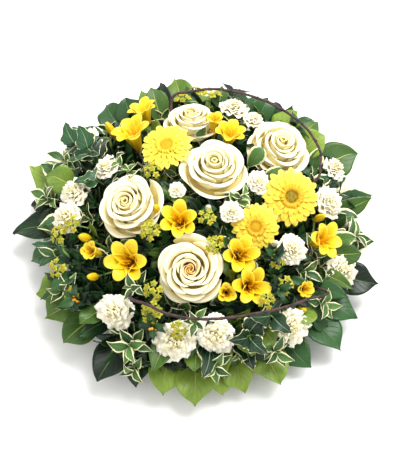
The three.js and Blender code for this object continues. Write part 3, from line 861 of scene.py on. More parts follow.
def stem_points(way: Vector, reach: float) -> list[Vector]:
    """Gives a straight stem's points, from inside the foam to a reach from the base centre."""
    foot = foam_exit(way) - STEM_DEPTH
    return [way * lerp(foot, reach, share) for share in (0.0, 0.35, 0.7, 1.0)]


def egg(point: Vector, across: float, along: float) -> Matrix:
    """Gives the matrix of a bead at a point, with its radius across and along +Z."""
    return Matrix.Translation(point) @ Matrix.Diagonal((across, across, along, 1))


# Heads

SEPAL = Petal(
    spine=((0.12, -0.06), (0.3, -0.08), (0.42, -0.14), (0.6, -0.28)), widths=(0.14, 0.12, 0.012),
    round=0.0, grid=(4, 6),
)
BUD_PETAL = Petal(
    spine=((0.1, -0.5), (0.46, -0.1), (0.44, 0.8), (0.03, 1.28)), widths=(0.14, 0.44, 0.06),
    lap=0.05, round=0.0, grid=(6, 6),
)
BRACT = Petal(
    spine=((0.05, 0.0), (0.3, 0.02), (0.6, 0.2), (0.9, 0.22)), widths=(0.1, 0.42, 0.06),
    round=0.0, grid=(2, 3),
)


class Head:
    """A head of some kind, modelled up +Z with its seat at 0."""

    depth: float = 1.0
    root: float = 0.5

    def build(self, plant: Plant, size: float, matrix: Matrix) -> None:
        """Adds the head to a piece.

        Args:
            plant: The piece.
            size: The head's size in metres.
            matrix: Where it goes.
        """
        raise NotImplementedError


@dataclass(frozen=True)
class RoseRing:
    """One ring of a rose's petals, in head sizes.

    Attributes:
        count: Its petals.
        belly: The radius at which they stand widest below the rim.
        rim: The radius at which their rims start to curl out.
        top: The height of that.
        roll: The radius of the curl.
    """

    count: int
    belly: float
    rim: float
    top: float
    roll: float


@dataclass
class RoseHead(Head):
    """A full rose: nested cups of broad petals with softly rolled rims.

    Attributes:
        finish: Its petals' finish.
        rings: Its rings, from the outermost in.
    """

    finish: PetalFinish = ROSE_WHITE
    rings: tuple[RoseRing, ...] = (
        RoseRing(5, 0.76, 0.84, 0.3, 0.12), RoseRing(5, 0.7, 0.67, 0.56, 0.11),
        RoseRing(4, 0.58, 0.48, 0.76, 0.08), RoseRing(3, 0.44, 0.32, 0.86, 0.055),
        RoseRing(3, 0.29, 0.19, 0.92, 0.035), RoseRing(2, 0.14, 0.07, 0.92, 0.02))
    depth: float = 0.8
    root: float = 0.26

    def petal(self, row: int, rng: random.Random) -> Petal:
        """Gives one petal of a ring."""
        ring = self.rings[row]
        share = row / (len(self.rings) - 1)
        rim = ring.rim * rng.uniform(0.88, 1.06)
        top = ring.top + rng.uniform(-0.05, 0.04)
        cover = 4.5 / ring.count
        return Petal(
            spine=((0.14, lerp(0.02, 0.3, share)), (1.15 * ring.belly, lerp(0.0, 0.42, share)),
                   (1.02 * rim, top - 0.12), (rim, top)),
            widths=(0.2, cover * ring.belly, cover * rim), round=lerp(0.26, 0.14, share),
            lap=lerp(0.13, 0.04, share),
            roll=ring.roll * rng.uniform(0.85, 1.2), roll_from=0.72, ruffle=0.014, waves=1.3, grid=(10, 10),
        )

    def build(self, plant: Plant, size: float, matrix: Matrix) -> None:
        """Adds the petals, ring by ring from the outside."""
        material = PALETTE(self.finish)
        for row, ring in enumerate(self.rings):
            for k in range(ring.count):
                bearing = (k + 0.42 * row + plant.rng.uniform(-0.12, 0.12)) * 2 * math.pi / ring.count
                petal = self.petal(row, plant.rng)
                depth = row / (len(self.rings) - 1)
                plant.blade(petal.surface(size, bearing, plant.rng), petal.grid, material, matrix, depth)


@dataclass
class GerberaHead(Head):
    """A gerbera: rings of rays round a disc of small florets.

    Attributes:
        finish: The rays' finish.
        eye: The disc's finish.
        florets: How many florets the disc has.
        rows: Each ring's rays, and their reach, height, half width and nearness to the heart.
    """

    finish: PetalFinish = GERBERA_LEMON
    eye: PetalFinish | GrainFinish = GERBERA_LEMON
    florets: int = 90
    rows: tuple[tuple[int, float, float, float, float], ...] = (
        (17, 1.0, 0.05, 0.14, 0.0), (17, 0.9, 0.11, 0.13, 0.1), (18, 0.66, 0.18, 0.085, 0.35),
        (22, 0.42, 0.24, 0.05, 0.8))
    depth: float = 0.2
    root: float = 0.26

    def build(self, plant: Plant, size: float, matrix: Matrix) -> None:
        """Adds the rays and the disc."""
        material = PALETTE(self.finish)
        for row, (count, reach, height, half, share) in enumerate(self.rows):
            petal = Petal(
                spine=((0.17, 0.08), (0.5 * reach, 0.1 + height), (0.8 * reach, 0.13 + height),
                       (reach, height)),
                widths=(0.03, half, 0.8 * half), round=0.2, cup=0.03, grid=(4, 6),
            )
            for k in range(count):
                bearing = (k + 0.5 * row + plant.rng.uniform(-0.16, 0.16)) * 2 * math.pi / count
                longer = size * plant.rng.uniform(0.93, 1.04)
                plant.blade(petal.surface(longer, bearing, plant.rng), petal.grid, material, matrix, share)
        self.disc(plant, size, matrix)

    def disc(self, plant: Plant, size: float, matrix: Matrix) -> None:
        """Adds the disc: a low cushion set with florets in a spiral."""
        eye = PALETTE(self.eye)
        for k in range(self.florets):
            out = 0.25 * math.sqrt((k + 0.5) / self.florets)
            turn = k * GOLDEN_ANGLE
            height = 0.28 - 1.1 * out * out + 0.02 * plant.rng.random()
            point = Vector((out * math.cos(turn), out * math.sin(turn), height)) * size
            plant.bead(matrix @ egg(point, 0.018 * size, 0.04 * size), eye, detail=(5, 4), depth=1.0)
        plant.bead(matrix @ egg(UP * 0.12 * size, 0.25 * size, 0.12 * size), eye, detail=(16, 8), depth=1.0)


@dataclass
class FreesiaHead(Head):
    """A freesia flower: a funnel of six broad tepals, every second one set in.

    Attributes:
        open: From 0, shut, to 1, wide open.
    """

    open: float = 1.0
    depth: float = 1.05
    root: float = 0.6

    def build(self, plant: Plant, size: float, matrix: Matrix) -> None:
        """Adds the tepals, the stamens and the green foot."""
        material = PALETTE(FREESIA_GOLD)
        spread = 0.35 + 0.65 * self.open
        length = 1.35 - 0.3 * self.open
        for k in range(6):
            inset = 0.0 if k % 2 else 0.07
            reach = spread * plant.rng.uniform(0.92, 1.04) - inset
            petal = Petal(
                spine=((0.1, -0.62), (0.32 - inset, 0.35 * length), (0.5 * spread - inset, 1.02 * length),
                       (reach, length * plant.rng.uniform(0.88, 0.98))),
                widths=(0.09, 0.46, 0.52), round=0.46, cup=0.16, ruffle=0.03, waves=1.5, grid=(8, 8),
            )
            bearing = (k + plant.rng.uniform(-0.12, 0.12)) * math.pi / 3
            plate = petal.surface(size, bearing, plant.rng)
            plant.blade(plate, petal.grid, material, matrix, 0.15 + 0.2 * (k % 2))
        if self.open > 0.5:
            for k in range(3):
                lean = Quaternion(UP, k * 2.1) @ Quaternion((1, 0, 0), 0.12)
                stamen = lean.to_matrix().to_4x4() @ egg(UP * 0.5 * size, 0.03 * size, 0.24 * size)
                plant.bead(matrix @ stamen, material, detail=(5, 4), depth=0.0)
        foot = egg(UP * -0.6 * size, 0.15 * size, 0.2 * size)
        plant.bead(matrix @ foot, PALETTE(STEM_GREEN), detail=(8, 5))


@dataclass
class Bud(Head):
    """A slim bud in its green foot."""

    finish: PetalFinish = FREESIA_GOLD
    depth: float = 1.3
    root: float = 0.5

    def build(self, plant: Plant, size: float, matrix: Matrix) -> None:
        """Adds the bud's wrapped petals and its foot."""
        material = PALETTE(self.finish)
        for k in range(3):
            plate = BUD_PETAL.surface(size, k * 2.09, plant.rng)
            plant.blade(plate, BUD_PETAL.grid, material, matrix, 0.1)
        foot = egg(UP * -0.42 * size, 0.24 * size, 0.34 * size)
        plant.bead(matrix @ foot, PALETTE(STEM_GREEN), detail=(8, 6))


@dataclass
class CarnationHead(Head):
    """A spray carnation: a soft ball of ruffled, finely frayed petals over a green tube.

    Attributes:
        rings: The petals of each ring, from the outermost in.
    """

    rings: tuple[int, ...] = (6, 6, 6, 5, 4, 2)
    depth: float = 0.7
    root: float = 0.45

    def build(self, plant: Plant, size: float, matrix: Matrix) -> None:
        """Adds the petals and the tube."""
        material = PALETTE(CARNATION_WHITE)
        for row, count in enumerate(self.rings):
            share = row / max(1, len(self.rings) - 1)
            for k in range(count):
                reach = lerp(1.02, 0.14, share**0.9) * plant.rng.uniform(0.88, 1.08)
                top = lerp(0.28, 0.84, share**0.75) + plant.rng.uniform(-0.07, 0.07)
                petal = Petal(
                    spine=((0.12, 0.08), (0.34 * reach + 0.06, 0.1 + 0.3 * share), (0.66 * reach, top + 0.1),
                           (reach, top)),
                    widths=(0.07, 0.36, 0.62 - 0.2 * share), round=0.2, ruffle=0.13, waves=2.4, fray=0.045,
                    grid=(14, 6),
                )
                bearing = (k + 0.5 * row + plant.rng.uniform(-0.25, 0.25)) * 2 * math.pi / count
                plant.blade(petal.surface(size, bearing, plant.rng), petal.grid, material, matrix, share)
        foot = egg(UP * -0.12 * size, 0.3 * size, 0.42 * size)
        plant.bead(matrix @ foot, PALETTE(STEM_GREEN), detail=(8, 6))


@dataclass
class BractTuft(Head):
    """A tuft of bupleurum: small umbels, each a ring of bracts round tiny florets."""

    umbels: int = 6
    depth: float = 0.3
    root: float = 0.35

    def build(self, plant: Plant, size: float, matrix: Matrix) -> None:
        """Adds the umbels on their short stalks."""
        bract, floret, stem = (PALETTE(f) for f in (BUPLEURUM_BRACT, BUPLEURUM_FLORET, STEM_GREEN))
        for k in range(self.umbels):
            out = 0.0 if k == 0 else 0.6
            turn = k * 2 * math.pi / max(1, self.umbels - 1) + plant.rng.uniform(-0.3, 0.3)
            point = Vector((out * math.cos(turn), out * math.sin(turn), lerp(0.32, 0.08, out / 0.6))) * size
            up = (point + UP * 0.9 * size).normalized()
            umbel = matrix @ stand_at(point, up, plant.rng.uniform(0, 360))
            small = 0.42 * size * plant.rng.uniform(0.85, 1.1)
            for j in range(5):
                plant.blade(BRACT.surface(small, j * 1.2566, plant.rng), BRACT.grid, bract, umbel)
            for j in range(7):
                seat = Vector((0, 0, 0.26)) if j == 6 else Vector((0.3, 0, 0.2))
                place = Quaternion(UP, j * 1.05) @ seat
                bead = Matrix.Translation(place * small) @ Matrix.Scale(0.13 * small, 4)
                plant.bead(umbel @ bead, floret, detail=(5, 4))
            stalk = [matrix @ (UP * -self.root * size), matrix @ (point * 0.5), matrix @ point]
            plant.tube(stalk, (0.4 * MM, 0.4 * MM), stem, sides=4)


@dataclass
class LargeFlower:
    """A rose or gerbera on its own stem, with its cup of sepals.

    Attributes:
        name: The name that its two nodes share.
        head: The kind of head.
        at: Its place.
        size: Its size in millimetres.
        spin: Degrees that it turns about its own axis.
        nod: Degrees that it nods towards the viewer.
        stem_radius: Its stem's radius.
    """

    name: str
    head: Head
    at: Place
    size: float
    spin: float = 0.0
    nod: float = 0.0
    stem_radius: float = 2.6 * MM

    def build(self) -> None:
        """Makes the two pieces that stand for the head and the stem."""
        size = self.size * MM
        face = self.at.point()
        up = facing(face, self.nod)
        seat = face - up * (self.head.depth * size)
        matrix = stand_at(seat, up, self.spin)
        petals = Plant(f"{self.name}_petals")
        self.head.build(petals, size, matrix)
        petals.dress(f"{self.name.split('_')[0]}_petal", [f"{self.name}_head"], BLADE_WALL, 1)
        self.stalk(size, seat, up, matrix).dress("stem", [f"{self.name}_stem"], SEPAL_WALL, 1)

    def stalk(self, size: float, seat: Vector, up: Vector, matrix: Matrix) -> Plant:
        """Makes the sepals, the cup and the stem.

        Args:
            size: The head's size in metres.
            seat: Where the head sits.
            up: The way it faces.
            matrix: Where the head goes.

        Returns:
            The piece, not yet dressed.
        """
        green = PALETTE(STEM_GREEN)
        stalk = Plant(f"{self.name}_stalk")
        for k in range(5):
            plate = SEPAL.surface(size, k * 2 * math.pi / 5, stalk.rng)
            stalk.blade(plate, SEPAL.grid, green, matrix)
        stalk.bead(matrix @ egg(UP * -0.16 * size, 0.22 * size, 0.17 * size), green, detail=(12, 8))
        neck = seat - up * (self.head.root * size)
        points = stem_points(neck.normalized(), neck.length)
        points.append(seat - up * (0.12 * size))
        stalk.tube(points, (self.stem_radius, self.stem_radius), green, sides=10)
        return stalk


@dataclass
class Spray:
    """One stem with heads on its branches.

    Attributes:
        name: The name of its node, whose first word is its material slot.
        heads: Each head's kind, place, size in millimetres and spin in degrees.
        stem_radius: Its stem's radius.
    """

    name: str
    heads: tuple[tuple[Head, Place, float, float], ...]
    stem_radius: float = 1.4 * MM

    def build(self) -> None:
        """Makes the piece that stands for the spray."""
        plant = Plant(f"{self.name}_spray")
        green = PALETTE(STEM_GREEN)
        fork = None
        for head, at, millimetres, spin in self.heads:
            size = millimetres * MM
            face = at.point()
            up = facing(face)
            seat = face - up * (head.depth * size)
            root = seat - up * (head.root * size)
            head.build(plant, size, stand_at(seat, up, spin))
            if fork is None:
                way = root.normalized()
                reach = max(FORK_REACH, foam_exit(way) + FORK_CLEAR)
                fork = way * min(reach, root.length - FORK_NECK)
                points = [*stem_points(way, root.length), seat - up * (0.2 * size)]
                plant.tube(points, (self.stem_radius, 0.8 * self.stem_radius), green)
            else:
                bend = fork.lerp(root, 0.5) * BRANCH_RISE
                points = [fork, bend, root, seat - up * (0.2 * size)]
                plant.tube(points, (self.stem_radius, 0.6 * self.stem_radius), green)
        slot = self.name.split("_")[0]
        plant.dress(slot, [self.name], THIN_WALL, 1 if slot == "freesia" else 0)


def leaf_ways(axis: Vector, side: Vector, turn: float, lean: float) -> tuple[Vector, Vector]:
    """Gives the ways of a leaf that leans off a sprig.

    Args:
        axis: The sprig's own way.
        side: A way square to it.
        turn: How far round the sprig the leaf is, in radians.
        lean: How far it leans off the sprig, in radians.

    Returns:
        The way that it grows, and the way that its upper face looks.
    """
    swing = Quaternion(axis, turn)
    out = swing @ (side * math.sin(lean) + axis * math.cos(lean))
    return out, swing @ (axis * math.sin(lean) - side * math.cos(lean))


def leaf_slot(kind: LeafKind) -> str:
    """Gives the record's material slot of a kind of foliage."""
    return "leaf_dark" if kind is LeafKind.IVY else f"leaf_{kind.name.lower()}"


@dataclass
class LeafyStem:
    """A stem of leaves round the rim or within the dome.

    Attributes:
        name: The name of its node.
        kind: Its kind of foliage.
        stem: Its bearing and its lean from upright, in degrees.
        leaves: Each leaf's bearing in degrees, and in millimetres its distance out at base and tip,
            its height at base and tip, and its width.
        shape: The form of its leaves.
    """

    name: str
    kind: LeafKind
    stem: tuple[float, float]
    leaves: tuple[tuple[float, float, float, float, float, float], ...]
    shape: LeafShape = POINTED

    def build(self) -> None:
        """Makes the piece that stands for the leafy stem."""
        plant = Plant(f"{self.name}_foliage")
        green = PALETTE(STEM_GREEN)
        skin = PALETTE(self.kind.value)
        bearing, lean = (math.radians(angle) for angle in self.stem)
        way = Vector((math.sin(lean) * math.cos(bearing), math.sin(lean) * math.sin(bearing), math.cos(lean)))
        reach = foam_exit(way) + NODE_CLEAR
        node = way * reach
        plant.tube(stem_points(way, reach), (1.6 * MM, 1.5 * MM), green)
        for turn, base_out, tip_out, base_height, tip_height, width in self.leaves:
            base = self.polar(turn, base_out, base_height)
            tip = self.polar(turn, tip_out, tip_height)
            up = ((base + tip) / 2 - FACE_FOCUS).normalized()
            twist = Quaternion((tip - base).normalized(), math.radians(plant.rng.uniform(-18, 18)))
            blade = self.shape.surface(base, tip, width * MM, twist @ up, 8 * MM, plant.rng)
            plant.blade(blade, (10, 18), skin)
            petiole = [node, node.lerp(base, 0.6), base.lerp(tip, 0.08) + up * MM]
            plant.tube(petiole, (1.1 * MM, 0.7 * MM), green, sides=6)
        plant.dress(leaf_slot(self.kind), [self.name], BLADE_WALL)

    @staticmethod
    def polar(bearing: float, out: float, height: float) -> Vector:
        """Gives a point from its bearing in degrees and its distance out and height in millimetres."""
        turn = math.radians(bearing)
        return Vector((out * math.cos(turn), out * math.sin(turn), height)) * MM


@dataclass
class Twig:
    """A bare twig that arches over the heads, with both ends in the foam."""

    name: str
    route: tuple[Place, ...]
    radius: float = 1.5 * MM
    steps: int = 8

    def build(self) -> None:
        """Makes the piece that stands for the twig."""
        plant = Plant(f"{self.name}_bark")
        ends = [self.route[0].point(), self.route[-1].point()]
        feet = [end.normalized() * (foam_exit(end.normalized()) - STEM_DEPTH) for end in ends]
        knots = [feet[0], *(place.point() for place in self.route), feet[1]]
        points = []
        for step in range(self.steps * (len(knots) - 1) + 1):
            jitter = Vector([plant.rng.uniform(-0.3, 0.3) * MM for _ in range(3)])
            points.append(through(knots, step / self.steps) + jitter)
        bark = PALETTE(TWIG_BARK)
        plant.tube(points, (self.radius, 0.8 * self.radius), bark, sides=8)
        for k in range(2 * self.steps, len(points) - 2 * self.steps, self.steps // 2 + 1):
            plant.bead(egg(points[k], 1.25 * self.radius, 1.25 * self.radius), bark, detail=(8, 6))
        plant.dress("twig", [self.name], BLADE_WALL)


@dataclass
class Undergrowth:
    """Leafy sprigs that fill the dome below the heads and round the pad's side.

    Attributes:
        heads: The middle and radius of every head, whose room the sprigs leave free.
        sprigs: How many places are tried.
        reach: How far out they go, in millimetres.
        skirt: How many single leaves hang between the rim's leafy stems.
    """

    heads: tuple[tuple[Vector, float], ...]
    sprigs: int = 230
    reach: float = 150
    skirt: int = 54

    def build(self) -> None:
        """Makes one piece for each kind of foliage."""
        rng = random.Random("undergrowth")
        plants = {kind: Plant(f"undergrowth_{kind.name.lower()}") for kind in LeafKind}
        for k in range(self.sprigs):
            place = Place(math.degrees(k * GOLDEN_ANGLE), self.reach * math.sqrt((k + 0.5) / self.sprigs))
            kind = rng.choices(list(LeafKind), (7, 1, 2, 0))[0]
            tip = Place(place.bearing, place.out, self.room(place.point()) / MM - rng.uniform(0, 6)).point()
            self.sprig(plants[kind], tip, rng, kind)
        for k in range(self.skirt):
            kind = rng.choices(list(LeafKind), (5, 2, 3, 2))[0]
            self.hanging_leaf(plants[kind], math.degrees(k * GOLDEN_ANGLE), rng, kind)
        for kind, plant in plants.items():
            plant.dress(leaf_slot(kind), [], THIN_WALL)

    def room(self, point: Vector) -> float:
        """Gives how far above the dome, or below it, a sprig's top may be at a point."""
        lift = -20 * MM
        for middle, size in self.heads:
            gap = (point - middle).length - size
            if gap < 8 * MM:
                lift = min(lift, 2 * max(0.0, gap) - 0.9 * size - 12 * MM)
        return lift

    def sprig(self, plant: Plant, tip: Vector, rng: random.Random, kind: LeafKind) -> None:
        """Adds one sprig.

        Args:
            plant: The piece that it joins.
            tip: Where its topmost leaf starts.
            rng: Where its small differences come from.
            kind: Its kind of foliage.
        """
        way = tip.normalized()
        reach = max(tip.length, foam_exit(way) + 5 * MM)
        green, skin = PALETTE(STEM_GREEN), PALETTE(kind.value)
        plant.tube([way * (foam_exit(way) - 8 * MM), way * reach], (MM, 0.7 * MM), green, sides=4)
        side = way.orthogonal().normalized()
        lowest = max(foam_exit(way) + 2 * MM, reach - SPRIG_LENGTH)
        for k in range(SPRIG_LEAVES):
            share = k / (SPRIG_LEAVES - 1)
            base = way * lerp(lowest, reach, share)
            turn = k * GOLDEN_ANGLE + rng.uniform(-0.3, 0.3)
            lean = math.radians(lerp(84, 42, share) + rng.uniform(-10, 10))
            out, up = leaf_ways(way, side, turn, lean)
            length = rng.uniform(15, 25) * MM
            width = length * rng.uniform(0.42, 0.6)
            blade = ROUNDED.surface(base, base + out * length, width, up, 2 * MM, rng)
            plant.blade(blade, (4, 5), skin)

    def hanging_leaf(self, plant: Plant, bearing: float, rng: random.Random, kind: LeafKind) -> None:
        """Adds one leaf on its own stalk between the leafy stems of the rim."""
        base = LeafyStem.polar(bearing, 122, rng.uniform(30, 52))
        tip = LeafyStem.polar(bearing + rng.uniform(-5, 5), rng.uniform(146, 178), rng.uniform(24, 66))
        width = rng.uniform(16, 28) * MM
        up = (Quaternion((tip - base).normalized(), rng.uniform(-0.5, 0.5))
              @ ((base + tip) / 2 - FACE_FOCUS).normalized())
        shape = LOBED if kind is LeafKind.IVY else rng.choice((POINTED, ROUNDED))
        plant.blade(shape.surface(base, tip, width, up, 5 * MM, rng), (8, 12), PALETTE(kind.value))
        way = base.normalized()
        stalk = [way * (foam_exit(way) - 6 * MM), base.lerp(tip, 0.06)]
        plant.tube(stalk, (0.8 * MM, 0.7 * MM), PALETTE(STEM_GREEN), sides=4)


@dataclass
class Filler:
    """A small sprig that comes up between the heads.

    Attributes:
        name: The name of its piece.
        kind: Its kind of foliage.
        at: The dome place of its top.
        size: The length of its leaves in millimetres.
        leaves: How many leaves it has.
        berries: How many berries stand among them.
        tuft: The radius in millimetres of the tuft of florets that it ends in, if any.
    """

    name: str
    kind: LeafKind
    at: Place
    size: float
    leaves: int = 6
    berries: int = 0
    tuft: float = 0.0

    def build(self) -> None:
        """Makes the piece."""
        plant = Plant(self.name)
        tip = self.at.point()
        up = facing(tip)
        way = (tip - up * 10 * MM).normalized()
        green, skin = PALETTE(STEM_GREEN), PALETTE(self.kind.value)
        foot = way * (foam_exit(way) - 8 * MM)
        plant.tube([foot, foot.lerp(tip, 0.5) * 1.02, tip], (0.9 * MM, 0.6 * MM), green, sides=5)
        side = up.orthogonal().normalized()
        shape = LOBED if self.kind is LeafKind.IVY else POINTED
        for k in range(self.leaves):
            share = k / max(1, self.leaves - 1)
            base = foot.lerp(tip, lerp(0.76, 1.0, share))
            turn = k * GOLDEN_ANGLE + plant.rng.uniform(-0.2, 0.2)
            lean = math.radians(lerp(82, 55, share) + plant.rng.uniform(-8, 8))
            out, face = leaf_ways(up, side, turn, lean)
            length = self.size * MM * plant.rng.uniform(0.8, 1.1)
            broad = 0.95 if shape is LOBED else 0.52
            blade = shape.surface(base, base + out * length, broad * length, face, 2.5 * MM, plant.rng)
            plant.blade(blade, (8, 12), skin)
        for k in range(self.berries):
            spot = tip + (Quaternion(up, k * GOLDEN_ANGLE) @ side) * (2.2 * MM * math.sqrt(k)) + up * 2 * MM
            plant.bead(egg(spot, 1.7 * MM, 1.7 * MM), PALETTE(BERRY_AMBER), detail=(8, 6))
            plant.tube([tip - up * 6 * MM, spot], (0.35 * MM, 0.35 * MM), green, sides=4)
        if self.tuft:
            TUFT.build(plant, self.tuft * MM, stand_at(tip, up))
        plant.dress(leaf_slot(self.kind), [], THIN_WALL)


# The blooms of the posy

OPEN_ROSE = RoseHead(ROSE_PEACH, (
    RoseRing(5, 0.74, 0.8, 0.3, 0.13), RoseRing(5, 0.68, 0.68, 0.52, 0.115),
    RoseRing(5, 0.57, 0.55, 0.68, 0.1), RoseRing(4, 0.45, 0.41, 0.74, 0.06),
    RoseRing(4, 0.33, 0.31, 0.74, 0.045), RoseRing(3, 0.23, 0.2, 0.74, 0.035),
    RoseRing(3, 0.13, 0.1, 0.73, 0.025), RoseRing(2, 0.07, 0.035, 0.71, 0.018)))
FLOWERS = (
    LargeFlower("rose_left", RoseHead(), Place(191, 70), 33, 10),
    LargeFlower("rose_top", RoseHead(), Place(60, 31), 32, 40),
    LargeFlower("rose_front", OPEN_ROSE, Place(265, 84), 33, 75),
    LargeFlower("rose_right", RoseHead(), Place(38, 106), 32, 110, 14),
    LargeFlower("rose_back", RoseHead(), Place(94, 100, -4), 27, 30),
    LargeFlower("gerbera_left", GerberaHead(), Place(122, 58), 27, 0, 6, 2.3 * MM),
    LargeFlower("gerbera_right", GerberaHead(GERBERA_GOLD, GERBERA_EYE), Place(358, 90), 29, 8, 22, 2.3 * MM),
    LargeFlower("gerbera_low", GerberaHead(GERBERA_GOLD), Place(326, 66, -8), 24, 4, 15, 2.3 * MM),
)

FLOWER, SHUT, BUD = FreesiaHead(), FreesiaHead(open=0.45, depth=1.3), Bud()
LARGE, SMALL = CarnationHead(), CarnationHead((6, 6, 5, 4, 2), depth=0.6)
PALE_BUD = Bud(CARNATION_WHITE)
TUFT = BractTuft()
SPRAYS = (
    Spray("freesia_back_left", (
        (FLOWER, Place(130, 106, 2), 22, 0), (FLOWER, Place(116, 130, 6), 17, 30),
        (BUD, Place(132, 140, 4), 12, 0))),
    Spray("freesia_back", ((FLOWER, Place(66, 80), 18, 15), (SHUT, Place(79, 90, 5), 15, 0))),
    Spray("freesia_centre", ((FLOWER, Place(243, 40), 21, 20), (BUD, Place(207, 46), 11, 0))),
    Spray("freesia_left", (
        (FLOWER, Place(226, 99), 23, 0), (SHUT, Place(207, 118), 16, 0), (BUD, Place(197, 120, -3), 12, 0),
        (BUD, Place(216, 130, -2), 11, 0))),
    Spray("freesia_mid", ((FLOWER, Place(301, 80), 20, 10), (BUD, Place(292, 58), 9, 0))),
    Spray("freesia_front", ((FLOWER, Place(298, 109), 20, 0), (SHUT, Place(285, 107), 16, 40))),
    Spray("freesia_right", ((FLOWER, Place(343, 131, 4), 20, 5), (BUD, Place(354, 124, 2), 10, 0))),
    Spray("freesia_low", ((SHUT, Place(320, 136, -2), 15, 0), (BUD, Place(315, 146, -4), 9, 0))),
    Spray("carnation_left", (
        (LARGE, Place(172, 126), 18, 0), (SMALL, Place(184, 131), 17, 0), (SMALL, Place(159, 98), 13, 0))),
    Spray("carnation_back_left", ((SMALL, Place(140, 150, 3), 13, 0), (PALE_BUD, Place(147, 146), 7, 0))),
    Spray("carnation_front_left", ((LARGE, Place(234, 138), 19, 0),)),
    Spray("carnation_front", ((LARGE, Place(277, 138), 20, 20), (LARGE, Place(261, 143), 21, 0))),
    Spray("carnation_front_right", ((LARGE, Place(307, 151), 20, 0),)),
    Spray("carnation_low", ((LARGE, Place(329, 107), 16, 0), (PALE_BUD, Place(325, 92), 8, 0))),
    Spray("carnation_rim", ((LARGE, Place(339, 156), 20, 0),)),
    Spray("carnation_right", ((LARGE, Place(4, 133), 18, 0), (SMALL, Place(25, 156), 15, 0))),
    Spray("carnation_back", ((LARGE, Place(73, 128), 16, 0), (SMALL, Place(60, 113), 12, 0))),
    Spray("carnation_top", ((LARGE, Place(10, 60, -1), 13, 0), (SMALL, Place(320, 42), 12, 0))),
    Spray("carnation_centre", ((SMALL, Place(187, 20, -3), 9, 0), (PALE_BUD, Place(295, 24, -2), 8, 0))),
    Spray("bupleurum_back", ((TUFT, Place(85, 148, 8), 13, 0), (TUFT, Place(97, 138, 2), 11, 0))),
    Spray("bupleurum_left", (
        (TUFT, Place(203, 150, 3), 12, 0), (TUFT, Place(191, 140, 3), 12, 0),
        (TUFT, Place(216, 151, 4), 11, 0))),
    Spray("bupleurum_upper", ((TUFT, Place(152, 50, -4), 11, 0),)),
    Spray("bupleurum_inner", ((TUFT, Place(222, 60, -4), 10, 0),)),
    Spray("bupleurum_front", ((TUFT, Place(250, 128), 11, 0), (TUFT, Place(247, 108, -2), 11, 0))),
    Spray("bupleurum_right", ((TUFT, Place(318, 102, -2), 10, 0), (TUFT, Place(313, 122, -3), 11, 0))),
)

LEAFY = (
    LeafyStem("leaf_dark_left", LeafKind.DARK, (180, 80), (
        (179, 128, 187, 30, 22, 34), (189, 126, 170, 30, 20, 28), (170, 126, 172, 34, 34, 28))),
    LeafyStem("leaf_light_left", LeafKind.LIGHT, (156, 79), (
        (157, 126, 186, 30, 42, 40), (147, 126, 172, 30, 22, 32), (164, 122, 158, 52, 68, 30))),
    LeafyStem("leaf_dark_back_left", LeafKind.DARK, (129, 78), (
        (136, 126, 182, 34, 34, 34), (122, 126, 184, 32, 34, 34), (118, 120, 158, 50, 68, 32))),
    LeafyStem("leaf_light_back", LeafKind.LIGHT, (102, 78), (
        (98, 128, 184, 34, 44, 34), (109, 126, 182, 30, 34, 34), (89, 128, 176, 26, 24, 34),
        (108, 118, 156, 54, 74, 26))),
    LeafyStem("leaf_dark_back_right", LeafKind.DARK, (66, 78), (
        (76, 128, 180, 32, 34, 34), (63, 128, 182, 30, 30, 34), (63, 122, 158, 50, 66, 26),
        (79, 124, 160, 46, 60, 22))),
    LeafyStem("leaf_light_right", LeafKind.LIGHT, (38, 78), (
        (28, 128, 186, 30, 44, 40), (47, 128, 184, 30, 32, 36), (50, 120, 158, 50, 68, 34),
        (36, 120, 158, 52, 70, 30))),
    LeafyStem("leaf_variegated_right", LeafKind.VARIEGATED, (6, 79), (
        (14, 128, 184, 28, 32, 30), (356, 128, 176, 30, 34, 28), (3, 124, 160, 38, 46, 20))),
    LeafyStem("leaf_dark_right", LeafKind.DARK, (338, 81), (
        (343, 128, 187, 24, 24, 34), (330, 128, 180, 22, 18, 32))),
    LeafyStem("leaf_dark_front_right", LeafKind.DARK, (315, 80), (
        (318, 128, 187, 26, 18, 36), (308, 128, 178, 22, 14, 32))),
    LeafyStem("leaf_light_front_right", LeafKind.LIGHT, (294, 79), (
        (296, 126, 180, 26, 22, 40), (285, 128, 174, 24, 16, 32), (297, 120, 158, 48, 64, 28),
        (289, 120, 156, 46, 54, 28))),
    LeafyStem("leaf_light_front", LeafKind.LIGHT, (268, 80), (
        (269, 126, 184, 26, 20, 40), (259, 126, 176, 26, 20, 34), (278, 128, 172, 22, 14, 30),
        (269, 124, 160, 42, 46, 24))),
    LeafyStem("leaf_dark_front_left", LeafKind.DARK, (243, 80), (
        (239, 126, 187, 28, 24, 38), (250, 126, 174, 26, 18, 30), (247, 122, 162, 44, 50, 28))),
    LeafyStem("leaf_light_front_left", LeafKind.LIGHT, (217, 80), (
        (212, 126, 176, 28, 26, 36), (223, 126, 178, 28, 28, 34), (202, 126, 172, 26, 22, 32),
        (225, 122, 160, 44, 54, 22))),
    LeafyStem("leaf_variegated_top", LeafKind.VARIEGATED, (30, 34), (
        (38, 62, 80, 92, 112, 18), (20, 64, 86, 86, 106, 16))),
    LeafyStem("leaf_dark_shoulder", LeafKind.IVY, (150, 60), (
        (152, 106, 140, 62, 76, 32), (160, 112, 146, 54, 62, 24)), LOBED),
)

